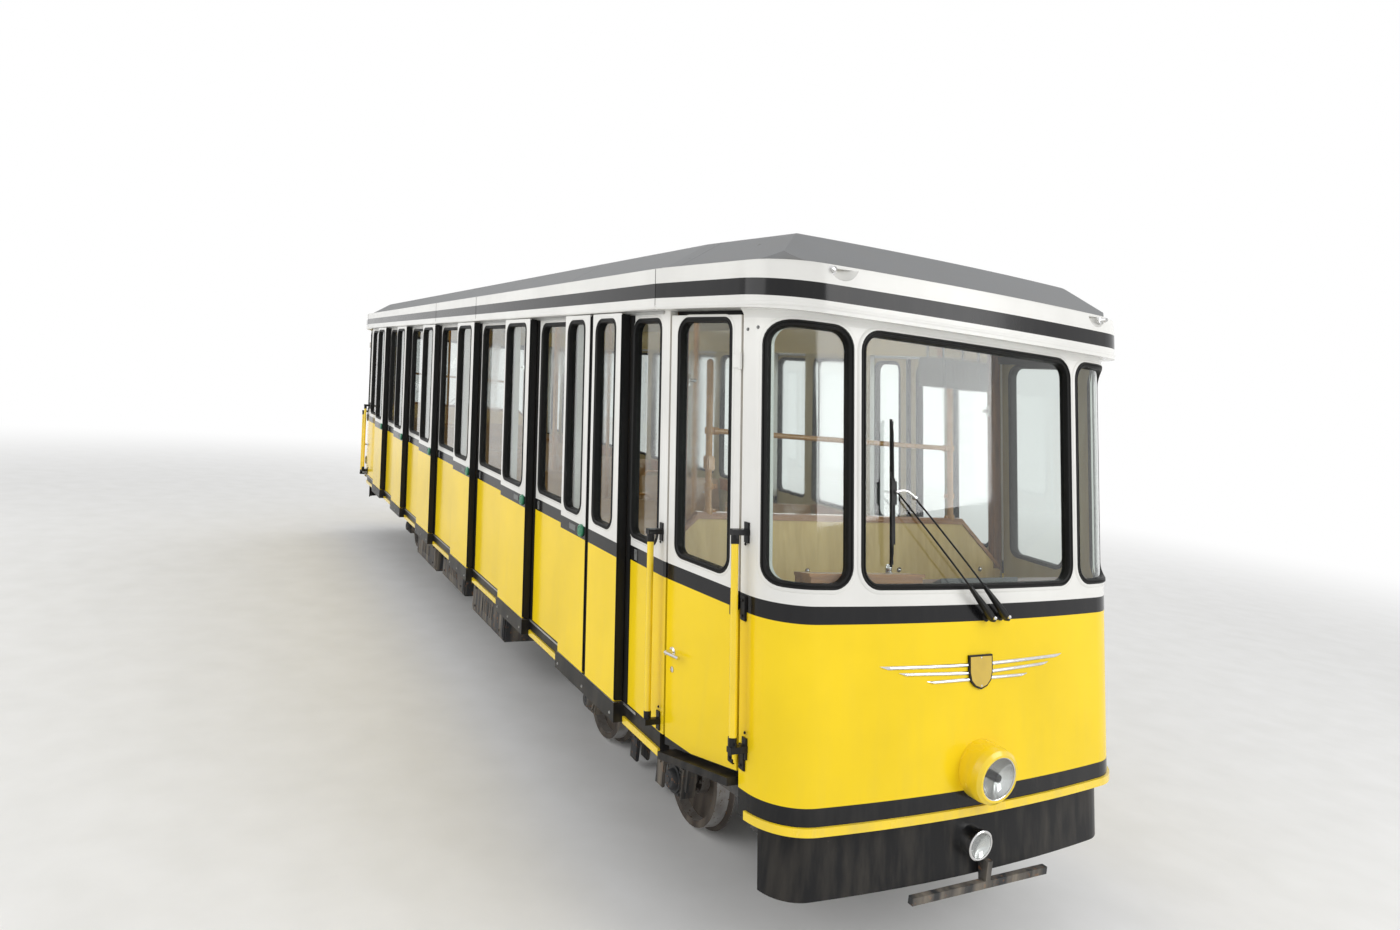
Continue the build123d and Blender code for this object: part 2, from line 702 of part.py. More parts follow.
def bogie(x):
    """Bogie frame with its axle boxes, seen as one welding."""
    half = BOX_SIZE / 2
    box_top = AXLE_Z + half
    beam_low = box_top + SPRING
    beam_high = beam_low + BEAM_HEIGHT
    reach = BOGIE_BASE / 2
    pieces = []
    side_outline = [
        (-reach - 150, beam_low + 20), (-reach - 90, beam_low), (-reach + 150, beam_low),
        (-reach + 260, beam_low - BEAM_DROP), (reach - 260, beam_low - BEAM_DROP),
        (reach - 150, beam_low), (reach + 90, beam_low), (reach + 150, beam_low + 20),
        (reach + 150, beam_high), (-reach - 150, beam_high),
    ]
    for side in (1, -1):
        y0, y1 = sorted((side * (JOURNAL_Y - SIDE_BEAM / 2), side * (JOURNAL_Y + SIDE_BEAM / 2)))
        outline = Pos(x, 0) * Polygon(*side_outline, align=None)
        pieces.append(extrude(Plane.XZ.offset(-y1) * outline, amount=y1 - y0))
        y = side * JOURNAL_Y
        for axle in (x - reach, x + reach):
            pieces.append(box(axle - half, axle + half, y - 45, y + 45, AXLE_Z - half, box_top))
            for guide in (axle - half - GUIDE, axle + half):
                pieces.append(box(guide, guide + GUIDE, y - 30, y + 30, AXLE_Z - 30, beam_low + 10))
            core = Cylinder(SPRING_CORE, SPRING + 10, align=(Align.CENTER, Align.CENTER, Align.MIN))
            pieces.append(Pos(axle, y, box_top - 5) * core)
    pieces.append(box(x - 150, x + 150, -JOURNAL_Y, JOURNAL_Y, beam_low - BEAM_DROP, beam_high))
    for side in (1, -1):
        y = side * (FRAME_Y - 60)
        pieces.append(box(x - 70, x + 70, y - 50, y + 50, beam_high, Z_FRAME - BEARER_AIR))
        y0, y1 = sorted((side * 440, side * 590))
        under = beam_low - BEAM_DROP
        pieces.append(box(x - BRAKE_REACH, x + BRAKE_REACH, y0, y1, under - 70, under + 20))
    pivot_top = Z_FRAME + 80
    pieces.append(Pos(x, 0, beam_high) * Cylinder(PIVOT_RADIUS + 50, Z_FRAME - BEARER_AIR - beam_high,
                                                  align=(Align.CENTER, Align.CENTER, Align.MIN)))
    pieces.append(Pos(x, 0, beam_high) * Cylinder(PIVOT_RADIUS, pivot_top - beam_high,
                                                  align=(Align.CENTER, Align.CENTER, Align.MIN)))
    frame = joined(pieces)
    for axle in (x - reach, x + reach):
        one, two = (axle, -JOURNAL_Y - 200, AXLE_Z), (axle, JOURNAL_Y + 200, AXLE_Z)
        frame -= rod(one, two, JOURNAL_RADIUS + RUNNING_FIT)
    return [frame]


def wheelset(x):
    """Axle with two flanged wheels, turned as one profile about the axle's line."""
    back = BACK_TO_BACK / 2
    front = back + TYRE_WIDTH
    web = front - WEB_IN
    end = JOURNAL_Y + JOURNAL_LENGTH / 2
    half = [
        (AXLE_RADIUS, back), (FLANGE_RADIUS - 8, back), (FLANGE_RADIUS, back + 14),
        (TREAD_RADIUS + 2, back + FLANGE_WIDTH), (TREAD_RADIUS - 2, front), (TREAD_RADIUS - RIM, front),
        (TREAD_RADIUS - RIM, web), (HUB_RADIUS, web), (HUB_RADIUS, front - 8),
        (JOURNAL_RADIUS, front - 8), (JOURNAL_RADIUS, end), (0, end),
    ]
    profile = [(r, -y) for r, y in reversed(half)] + half
    plane = Plane(origin=(x, 0, AXLE_Z), x_dir=(1, 0, 0), z_dir=(0, 0, 1))
    return [revolve(plane * Polygon(*profile, align=None), axis=Axis((x, 0, AXLE_Z), (0, 1, 0)))]


# Fittings

def end_surface(y, z, end, out=0):
    """Point on the bowed end at height z, or out in front of it."""
    bow = NOSE_RADIUS - (NOSE_RADIUS ** 2 - y ** 2) ** 0.5
    return facing(NOSE_X - bow + out, end) + lean(z)


def nacelles():
    """Round housing of each middle headlamp, growing out of the end."""
    found = []
    body = column(0, Z_SKIRT, Z_BELT)
    profile = [
        (-60, 0), (-60, NACELLE_RADIUS), (NACELLE_PROUD - 45, NACELLE_RADIUS),
        (NACELLE_PROUD - 14, NACELLE_RADIUS - 6), (NACELLE_PROUD, NACELLE_RADIUS - 22),
        (NACELLE_PROUD, LAMP_RADIUS + 2), (35, LAMP_RADIUS + 2), (35, 0),
    ]
    for name, end in ENDS:
        start = end_surface(0, NACELLE_Z, end)
        outline = [(start + end * out, NACELLE_Z + radius) for out, radius in profile]
        if end == 1:
            outline.reverse()
        face = make_face(Polyline(*[(x, 0, z) for x, z in outline], close=True))
        found.append(revolve(face, axis=Axis((start, 0, NACELLE_Z), (1, 0, 0))) - body)
    return found


def lamps():
    """Reflector bowls: one in each nacelle and one on each apron."""
    found = []
    backing = column(-APRON_IN, APRON_LOW, Z_SKIRT)
    for name, end in ENDS:
        x = end_surface(0, NACELLE_Z, end, 35)
        plane = Plane(origin=(x, 0, NACELLE_Z), x_dir=(0, 1, 0), z_dir=(end, 0, 0))
        found.append(extrude(plane * Circle(LAMP_RADIUS), amount=NACELLE_PROUD - 42))
        x = end_surface(0, LOW_LAMP_Z, end, -APRON_IN - 30)
        plane = Plane(origin=(x, 0, LOW_LAMP_Z), x_dir=(0, 1, 0), z_dir=(end, 0, 0))
        found.append(extrude(plane * Circle(LOW_LAMP_RADIUS), amount=LOW_LAMP_PROUD + 30) - backing)
    return found


def bar(start, finish, width, thick):
    """A flat bar between two points, its width upright in the plane of the wall behind it."""
    a, b = Vector(start), Vector(finish)
    face = Plane(origin=a, x_dir=(b - a).cross(Vector(1, 0, 0)), z_dir=b - a) * Rectangle(width, thick)
    return extrude(face, amount=(b - a).length)


def wipers():
    """Pair of arms on two pivots, with an upright blade, at each end."""
    found = []
    body = column(0, Z_SKIRT, Z_CORNICE)
    arms = [
        # pivot y, pivot z, tip y, tip z
        (42, 1612, -503, 2153),
        (133, 1613, -407, 2131),
    ]
    blade_y, blade_low, blade_high = -512, 1835, 2464

    def spot(y, z, end, out):
        return (end_surface(y, z, end, out), end * y, z)

    for name, end in ENDS:
        pieces = []
        for pivot_y, pivot_z, tip_y, tip_z in arms:
            pieces.append(bar(spot(pivot_y, pivot_z, end, 40), spot(tip_y, tip_z, end, 40), 16, 8))
            pieces.append(rod(spot(pivot_y, pivot_z, end, -20), spot(pivot_y, pivot_z, end, 48), 20) - body)
        upper, lower = [spot(tip_y, tip_z, end, 40) for _, _, tip_y, tip_z in arms]
        pieces.append(bar(upper, lower, 20, 8))
        link_z = arms[0][3]
        low, high = spot(blade_y, link_z - 20, end, 16), spot(blade_y + 16, link_z + 20, end, 44)
        pieces.append(box_between(low, high))
        pieces.append(bar(spot(blade_y, blade_low, end, 22), spot(blade_y, blade_high, end, 22), 14, 18))
        found.append(joined(pieces))
    return found


def guard_bars():
    """Cross bar low in front of each apron, on one upright bracket."""
    found = []
    backing = column(-APRON_IN, APRON_LOW - 100, Z_SKIRT)
    for name, end in ENDS:
        face = end_surface(0, GUARD_Z, end, -APRON_IN)
        y0, y1 = sorted((end * -380, end * 445))
        x0, x1 = sorted((face + end * 8, face + end * 38))
        cross = box(x0, x1, y0, y1, GUARD_Z, GUARD_Z + 35)
        y0, y1 = sorted((end * 45, end * 75))
        inner = end_surface(0, GUARD_Z + GUARD_ARM, end, -APRON_IN - 40)
        x0, x1 = sorted((inner, face + end * 38))
        arm = box(x0, x1, y0, y1, GUARD_Z, GUARD_Z + GUARD_ARM) - backing
        found.append(cross + arm)
    return found


def rail_spots():
    """Handrails beside the cab doors: station, level of the foot, wall's distance from the middle."""
    spots = []
    for name, end in ENDS:
        for x in (KINK_X - 16, HINGE_X + 52):
            drawn = max(0, x - KINK_X) * TAPER
            foot = RAIL_FOOT + (x - KINK_X) * LEAN * end
            spots.append((facing(x, end), foot, HALF_WIDTH - drawn))
    return spots


def handrails():
    """Upright tubes beside the cab doors."""
    found = []
    for x, foot, wall in rail_spots():
        y = -wall - RAIL_OFF
        head = foot + RAIL_LENGTH
        found.append(rod((x + lean(foot), y, foot), (x + lean(head), y, head), RAIL_RADIUS))
    return both_sides(found)


def rail_brackets():
    """Flat arms that hold the tubes' ends, each with a plate on the wall."""
    found = []
    body = column(0, Z_SKIRT, Z_CORNICE) + column(STRIPE_PROUD, Z_SKIRT, Z_STRIPE)
    for x, foot, wall in rail_spots():
        y = -wall - RAIL_OFF
        for level, out in ((foot, -1), (foot + RAIL_LENGTH, 1)):
            low, high = sorted((level + out * BRACKET, level))
            arm = slab(x - RAIL_RADIUS - 2, x + RAIL_RADIUS + 2, low, high, y - RAIL_RADIUS - 2, -wall + 20)
            plate = slab(x - 16, x + 16, low - 30, high + 30, -wall - 8, -wall + 20)
            end_face = Plane(origin=(x + lean(level), y, level), x_dir=LEVEL.x_dir, z_dir=LEVEL.z_dir)
            side = Align.MIN if out < 0 else Align.MAX
            arm -= end_face * Box(200, 200, 200, align=(Align.CENTER, Align.CENTER, side))
            found.append(arm + plate - body)
    return both_sides(found)


def write(name, shapes):
    """Writes one node from its solids."""
    solids = []
    for shape in shapes:
        solids += shape.solids()
    node = Compound(children=solids)
    node.label = name
    export_step(node, "parts/" + name + ".step")
    return node


NODES = {
    "side_panels_right": side_panels,
    "main_frame": main_frame,
    "floor_steps": lambda: [FLOOR],
    "benches": benches,
    "grab_poles": poles,
    "cab_bulkheads": bulkheads,
    "cab_rails": cab_rails,
    "cab_steps": cab_steps,
    "guard_bars": guard_bars,
    "driver_desks": desks,
    "roof": roof,
    "nacelles": nacelles,
    "lamps": lamps,
    "wipers": wipers,
    "handrails": handrails,
    "rail_brackets": rail_brackets,
    "haul_lugs": haul_lugs,
}

os.makedirs("parts", exist_ok=True)
for name, make in NODES.items():
    write(name, make())
right = side_panels()
write("side_panels_left", [mirror(s, about=Plane.XZ) for s in right])
sills = side_sills()
write("side_sills", both_sides(sills))
write("stripes", both_sides(side_stripes()) + end_stripe(1) + end_stripe(-1))
write("fixed_glass", both_sides(side_glass()) + end_glass(1) + end_glass(-1))
write("aprons", apron(1) + apron(-1))
for part in ("right", "left", "nose", "tail"):
    write("cornice_" + part, cornice(part))
for name, end in ENDS:
    write(name + "_shell", [end_shell(end)])
    door = cab_door(end)
    write("cab_door_" + name + "_right", [door])
    write("cab_door_" + name + "_left", [mirror(door, about=Plane.XZ)])
for number, x in enumerate(bogie_stations(), 1):
    write("bogie_" + str(number), bogie(x))
    for letter, axle in (("a", x + BOGIE_BASE / 2), ("b", x - BOGIE_BASE / 2)):
        write("wheelset_" + str(number) + letter, wheelset(axle))
for number, bay in enumerate(FOUND, 1):
    for letter, (x0, x1) in zip("ab", bay["leaves"]):
        tag = str(number) + (letter if len(bay["leaves"]) > 1 else "")
        right_leaf = leaf(x0, x1)
        write("leaf_right_" + tag, [right_leaf])
        write("leaf_left_" + tag, [mirror(right_leaf, about=Plane.XZ)])
for number, bay in enumerate(FOUND, 1):
    for x0, x1 in bay["leaves"]:
        print("leaf", number, "stations", round(x0, 1), round(x1, 1), "far end", round(bay["far"], 1))
for name, end in ENDS:
    print("cab door", name, "hinge", hinge_line(Z_LEAN, end))
print("bogies", bogie_stations(), "axle", AXLE_Z, "haul bore", frame_ends()[0] + HAUL_X)
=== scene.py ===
import bpy
import bmesh
import math
from mathutils import Matrix, Vector


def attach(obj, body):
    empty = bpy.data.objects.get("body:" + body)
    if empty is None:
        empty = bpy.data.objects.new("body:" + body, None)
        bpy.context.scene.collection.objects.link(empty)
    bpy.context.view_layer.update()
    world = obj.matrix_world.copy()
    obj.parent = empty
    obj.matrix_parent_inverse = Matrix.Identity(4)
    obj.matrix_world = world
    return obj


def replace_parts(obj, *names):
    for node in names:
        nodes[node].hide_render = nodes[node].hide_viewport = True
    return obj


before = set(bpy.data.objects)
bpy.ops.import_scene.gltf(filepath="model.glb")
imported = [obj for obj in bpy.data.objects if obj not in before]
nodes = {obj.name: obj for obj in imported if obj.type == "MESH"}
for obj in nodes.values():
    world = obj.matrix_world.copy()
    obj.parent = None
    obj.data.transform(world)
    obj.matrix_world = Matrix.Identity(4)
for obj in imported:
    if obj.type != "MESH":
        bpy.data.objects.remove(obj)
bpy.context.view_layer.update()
scene = bpy.context.scene

# Wheelsets: four forged axles with pressed-on flanged wheels of metre gauge, dark and oily with
# treads polished by the rails. Each hub carries a ring of bolts, and the axle's ends turn in the
# axle boxes of the bogies.
BOGIES = (("bogie_1", 3.5845), ("bogie_2", -3.0155))
WHEELBASE = 1.3
AXLE_Z = 0.308
TYRE = (0.472, 0.582)      # back and front of the tyres, out from the middle


def shader_node(tree, kind, **values):
    """A node of a material, with its sockets and settings filled in."""
    made = tree.nodes.new("ShaderNode" + kind)
    for key, value in values.items():
        socket = key.replace("_", " ")
        if socket in made.inputs:
            made.inputs[socket].default_value = value
        else:
            setattr(made, key, value)
    return made


def feed(tree, value, socket):
    """Gives a socket a number, a colour or another node's output."""
    if isinstance(value, (int, float, tuple)):
        socket.default_value = value
    else:
        tree.links.new(value, socket)


def new_group(name, inputs, outputs):
    """An empty node group with named sockets."""
    tree = bpy.data.node_groups.new(name, "ShaderNodeTree")
    for direction, sockets in (("INPUT", inputs), ("OUTPUT", outputs)):
        for title, value in sockets:
            kind = "NodeSocketColor" if isinstance(value, tuple) else "NodeSocketFloat"
            made = tree.interface.new_socket(title, in_out=direction, socket_type=kind)
            if direction == "INPUT":
                made.default_value = value
    return tree, tree.nodes.new("NodeGroupInput"), tree.nodes.new("NodeGroupOutput")


def mixed(tree, mask, below, above):
    """Mixes two colours by a mask and gives the mixed socket."""
    mix = shader_node(tree, "Mix", data_type="RGBA")
    for value, number in ((mask, 0), (below, 6), (above, 7)):
        feed(tree, value, mix.inputs[number])
    return mix.outputs[2]


def reckon(tree, operation, *values):
    """A Math node over sockets and numbers."""
    made = shader_node(tree, "Math", operation=operation)
    for value, socket in zip(values, made.inputs):
        feed(tree, value, socket)
    return made.outputs[0]


def times(tree, *values):
    """Product of several sockets and numbers."""
    product = values[0]
    for value in values[1:]:
        product = reckon(tree, "MULTIPLY", product, value)
    return product


def spread(tree, value, low, high, start=0.0, finish=1.0, smooth=False):
    """Maps a value's range onto another, cut off at both ends."""
    made = shader_node(tree, "MapRange", clamp=True, interpolation_type="SMOOTHSTEP" if smooth else "LINEAR")
    for number, socket in zip((value, low, high, start, finish), made.inputs[:5]):
        feed(tree, number, socket)
    return made.outputs[0]


def where_is(tree, kind="Object"):
    """X, Y and Z of a point of the object, or of the way its surface faces with kind Normal."""
    split = tree.nodes.new("ShaderNodeSeparateXYZ")
    tree.links.new(tree.nodes.new("ShaderNodeTexCoord").outputs[kind], split.inputs[0])
    return split.outputs


def noise(tree, scale, detail=3.0, stretch=None):
    """Noise over the object's own coordinates, or over coordinates stretched along an axis."""
    where = tree.nodes.new("ShaderNodeTexCoord").outputs["Object"]
    if stretch:
        mapping = shader_node(tree, "Mapping", Scale=stretch)
        tree.links.new(where, mapping.inputs["Vector"])
        where = mapping.outputs[0]
    made = shader_node(tree, "TexNoise", Detail=detail)
    tree.links.new(where, made.inputs["Vector"])
    feed(tree, scale, made.inputs["Scale"])
    return made.outputs["Fac"]


# Weathering shared by paint, steel, rubber and plastic: cloudy tone, worn patches, streaks of
# dust that run down the walls and settle low, and a fine surface for the bump.
DUST_TONE = (0.29, 0.25, 0.2, 1)
GREY = (0.5, 0.5, 0.5, 1)
weathering, wi, wo = new_group(
    "Weathering",
    [("Colour", GREY), ("Worn Colour", (0.3, 0.3, 0.3, 1)), ("Grain", 6.0), ("Wear", 0.1), ("Dust", 0.2),
     ("Gloss", 0.4)],
    [("Colour", GREY), ("Roughness", 0.4), ("Height", 0.0)],
)
cloud = noise(weathering, wi.outputs["Grain"], 4.0)
toned = shader_node(weathering, "VectorMath", operation="SCALE")
weathering.links.new(wi.outputs["Colour"], toned.inputs[0])
weathering.links.new(spread(weathering, cloud, 0.25, 0.75, 0.9, 1.06), toned.inputs["Scale"])
chips = noise(weathering, times(weathering, wi.outputs["Grain"], 7.0), 6.0)
edge = reckon(weathering, "SUBTRACT", 0.78, times(weathering, wi.outputs["Wear"], 0.42))
worn = spread(weathering, chips, edge, reckon(weathering, "ADD", edge, 0.05))
chipped = mixed(weathering, worn, toned.outputs[0], wi.outputs["Worn Colour"])
streaks = spread(weathering, noise(weathering, 5.0, 4.0, (3.0, 3.0, 0.35)), 0.42, 0.72)
low_down = spread(weathering, where_is(weathering)["Z"], 0.5, 1.5, 1.0, 0.25)
dusty = times(weathering, streaks, low_down, wi.outputs["Dust"])
weathering.links.new(mixed(weathering, dusty, chipped, DUST_TONE), wo.inputs["Colour"])
rough = wi.outputs["Gloss"]
for more in (times(weathering, dusty, 0.35), times(weathering, worn, 0.2),
             spread(weathering, cloud, 0.3, 0.7, -0.04, 0.05)):
    rough = reckon(weathering, "ADD", rough, more)
weathering.links.new(rough, wo.inputs["Roughness"])
fine = noise(weathering, times(weathering, wi.outputs["Grain"], 40.0), 2.0)
weathering.links.new(reckon(weathering, "SUBTRACT", fine, worn), wo.inputs["Height"])


def weathered(name, colour, worn_colour, grain=6.0, wear=0.1, dust=0.2, gloss=0.4, bump=0.1, metallic=0.0,
              coat=0.0, specular=0.5):
    """A finish over the shared weathering. colour is a tone or a function that makes its source."""
    made = bpy.data.materials.new(name)
    made.use_nodes = True
    tree = made.node_tree
    shader = tree.nodes["Principled BSDF"]
    group = shader_node(tree, "Group", node_tree=weathering)
    source = colour(tree) if callable(colour) else (*colour, 1)
    for socket, value in (("Colour", source), ("Worn Colour", (*worn_colour, 1)), ("Grain", grain),
                          ("Wear", wear), ("Dust", dust), ("Gloss", gloss)):
        feed(tree, value, group.inputs[socket])
    tree.links.new(group.outputs["Colour"], shader.inputs["Base Color"])
    tree.links.new(group.outputs["Roughness"], shader.inputs["Roughness"])
    surface = shader_node(tree, "Bump", Strength=bump, Distance=0.002)
    tree.links.new(group.outputs["Height"], surface.inputs["Height"])
    tree.links.new(surface.outputs[0], shader.inputs["Normal"])
    for socket, value in (("Metallic", metallic), ("Coat Weight", coat), ("Coat Roughness", 0.08),
                          ("Specular IOR Level", specular)):
        shader.inputs[socket].default_value = value
    return made


def dress(finish, *names):
    """Gives CAD nodes a finish."""
    for name in names:
        mesh = nodes[name].data
        mesh.materials.clear()
        mesh.materials.append(finish)


def wheel_paint(tree):
    """Oily brown steel, bright on the tyre where its surface doesn't face along the axle."""
    across = reckon(tree, "ABSOLUTE", where_is(tree)["Y"])
    facing_side = reckon(tree, "ABSOLUTE", where_is(tree, "Normal")["Y"])
    tread = times(tree, reckon(tree, "GREATER_THAN", across, TYRE[0]),
                  reckon(tree, "LESS_THAN", across, TYRE[1]),
                  reckon(tree, "LESS_THAN", facing_side, 0.5))
    polish = times(tree, tread, spread(tree, noise(tree, 14.0, 3.0), 0.3, 0.6, 0.55, 1.0))
    return mixed(tree, polish, (0.085, 0.07, 0.06, 1), (0.46, 0.45, 0.44, 1))


wheel_steel = weathered("wheel steel", wheel_paint, (0.16, 0.09, 0.05), 9.0, 0.35, 0.5, 0.42, 0.3,
                        metallic=0.75)
dress(wheel_steel, "wheelset_1a", "wheelset_1b", "wheelset_2a", "wheelset_2b")


def lean(z):
    """Shift along X of the car's leaning edges at height z, nought in the middle of the belt."""
    return -0.18 * (z - 1.633)


def block(x0, x1, y0, y1, z0, z1, edge=0.003, leaning=False):
    """Box with rounded edges between its faces, leaning with the pillars where asked."""
    builder = bmesh.new()
    bmesh.ops.create_cube(builder, size=1)
    middle = Vector(((x0 + x1) / 2, (y0 + y1) / 2, (z0 + z1) / 2))
    size = Vector((abs(x1 - x0), abs(y1 - y0), abs(z1 - z0)))
    for v in builder.verts:
        v.co = v.co * size + middle
    round_by = min(edge, min(size) * 0.45)
    bmesh.ops.bevel(builder, geom=builder.edges[:], offset=round_by, segments=2, affect="EDGES")
    if leaning:
        for v in builder.verts:
            v.co.x += lean(v.co.z)
    builder.verts.index_update()
    points = [v.co.copy() for v in builder.verts]
    faces = [[v.index for v in face.verts] for face in builder.faces]
    builder.free()
    return points, faces


def turned(profile, centre, axis, steps=28):
    """Turned shape from (radius, distance along the axis) pairs."""
    centre, axis = Vector(centre), Vector(axis).normalized()
    one = axis.orthogonal().normalized()
    two = axis.cross(one)
    points, faces, rings = [], [], []
    for radius, along in profile:
        if radius < 1e-6:
            rings.append([len(points)])
            points.append(centre + axis * along)
            continue
        rings.append(list(range(len(points), len(points) + steps)))
        for k in range(steps):
            angle = 2 * math.pi * k / steps
            points.append(centre + axis * along + (one * math.cos(angle) + two * math.sin(angle)) * radius)
    for a, b in zip(rings, rings[1:]):
        for k in range(steps):
            n = (k + 1) % steps
            if len(a) == 1:
                faces.append([a[0], b[k], b[n]])
            elif len(b) == 1:
                faces.append([a[k], a[n], b[0]])
            else:
                faces.append([a[k], a[n], b[n], b[k]])
    return points, faces


def merged(shapes):
    """One shape from several."""
    points, faces = [], []
    for more, sides in shapes:
        base = len(points)
        points += more
        faces += [[k + base for k in side] for side in sides]
    return points, faces


def bolt(place, axis, size=0.012, height=0.006):
    """Hexagonal bolt head on a washer, standing on a surface."""
    washer = [(0, 0), (size * 0.95, 0), (size * 0.95, height * 0.25), (0, height * 0.25)]
    head = [(0, height * 0.2), (size * 0.72, height * 0.2), (size * 0.72, height * 0.9), (size * 0.6, height),
            (0, height)]
    return merged([turned(washer, place, axis, 16), turned(head, place, axis, 6)])


def piece(name, shapes, finish, body="car", sharp=35):
    """One object of the scene that rides on a body of the car."""
    points, faces = merged(shapes)
    builder = bmesh.new()
    made = [builder.verts.new(p) for p in points]
    for side in faces:
        builder.faces.new([made[k] for k in side])
    bmesh.ops.recalc_face_normals(builder, faces=builder.faces[:])
    mesh = bpy.data.meshes.new(name)
    builder.to_mesh(mesh)
    builder.free()
    mesh.polygons.foreach_set("use_smooth", [True] * len(mesh.polygons))
    mesh.set_sharp_from_angle(angle=math.radians(sharp))
    mesh.materials.append(finish)
    made_object = bpy.data.objects.new(name, mesh)
    scene.collection.objects.link(made_object)
    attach(made_object, body)
    return made_object


HUB_FACE = 0.572           # front of the hubs, out from the middle
BOLT_RING = 0.075
for bogie, x in BOGIES:
    for letter, axle in (("a", x + WHEELBASE / 2), ("b", x - WHEELBASE / 2)):
        bolts = []
        for side in (1, -1):
            for k in range(8):
                dx, dz = BOLT_RING * math.cos(math.pi * k / 4), BOLT_RING * math.sin(math.pi * k / 4)
                bolts.append(bolt((axle + dx, side * HUB_FACE, AXLE_Z + dz), (0, side, 0), 0.014, 0.012))
        name = "wheelset_" + bogie[-1] + letter
        piece(name + "_hub_bolts", bolts, wheel_steel, name)

# Bogies: welded frames of dark painted steel that carry the axle boxes, with bolted box covers,
# coil springs, brake cylinders and hoses, and brake jaws that hang over the rails between the wheels.
frame_paint = weathered("frame paint", (0.028, 0.029, 0.031), (0.17, 0.085, 0.045),
                        5.0, 0.4, 0.75, 0.62, 0.35)
dress(frame_paint, "bogie_1", "bogie_2", "main_frame", "haul_lugs", "guard_bars")
JOURNAL_Y = 0.65
SPRING_SPAN = (0.393, 0.471)
JAW_OFF = 0.195            # brake jaws, before and behind the pivot
JAW_Y = (0.458, 0.552)
CYLINDER = (0.626, 0.405)  # axis of the brake cylinder: out from the middle, height
BOX_COVER = [(0, 0), (0.078, 0), (0.078, 0.012), (0.06, 0.012), (0.056, 0.034), (0.048, 0.042), (0.02, 0.042),
             (0.016, 0.047), (0, 0.047)]
SPRING_PLATE = [(0.031, -0.004), (0.052, -0.004), (0.052, 0.004), (0.031, 0.004)]
CYLINDER_SHAPE = [(0, -0.11), (0.034, -0.11), (0.042, -0.1), (0.042, 0.1), (0.034, 0.11), (0, 0.11)]
CYLINDER_BAND = [(0.0405, -0.008), (0.046, -0.008), (0.046, 0.008), (0.0405, 0.008)]


def walls(rings, size, closed=False):
    """Faces that join rings of points of one size, capped at both ends unless the rings close."""
    faces = []
    for k in range(rings if closed else rings - 1):
        here, there = k * size, (k + 1) % rings * size
        for n in range(size):
            m = (n + 1) % size
            faces.append([here + n, here + m, there + m, there + n])
    if not closed:
        faces += [list(range(size)), list(range((rings - 1) * size, rings * size))]
    return faces


def tube(path, radius, steps=12):
    """Round bar along a path of points."""
    path = [Vector(p) for p in path]
    points = []
    side = (path[1] - path[0]).orthogonal().normalized()
    for k, p in enumerate(path):
        ahead = (path[min(k + 1, len(path) - 1)] - path[max(k - 1, 0)]).normalized()
        side = (side - ahead * side.dot(ahead)).normalized()
        other = ahead.cross(side)
        for n in range(steps):
            angle = 2 * math.pi * n / steps
            points.append(p + (side * math.cos(angle) + other * math.sin(angle)) * radius)
    return points, walls(len(path), steps)


def coil(x, y, low, high, radius, wire, turns):
    """Coil spring between two heights."""
    path = []
    for k in range(turns * 14 + 1):
        angle = 2 * math.pi * k / 14
        rise = low + wire + (high - low - 2 * wire) * k / (turns * 14)
        path.append((x + radius * math.cos(angle), y + radius * math.sin(angle), rise))
    return tube(path, wire, 7)


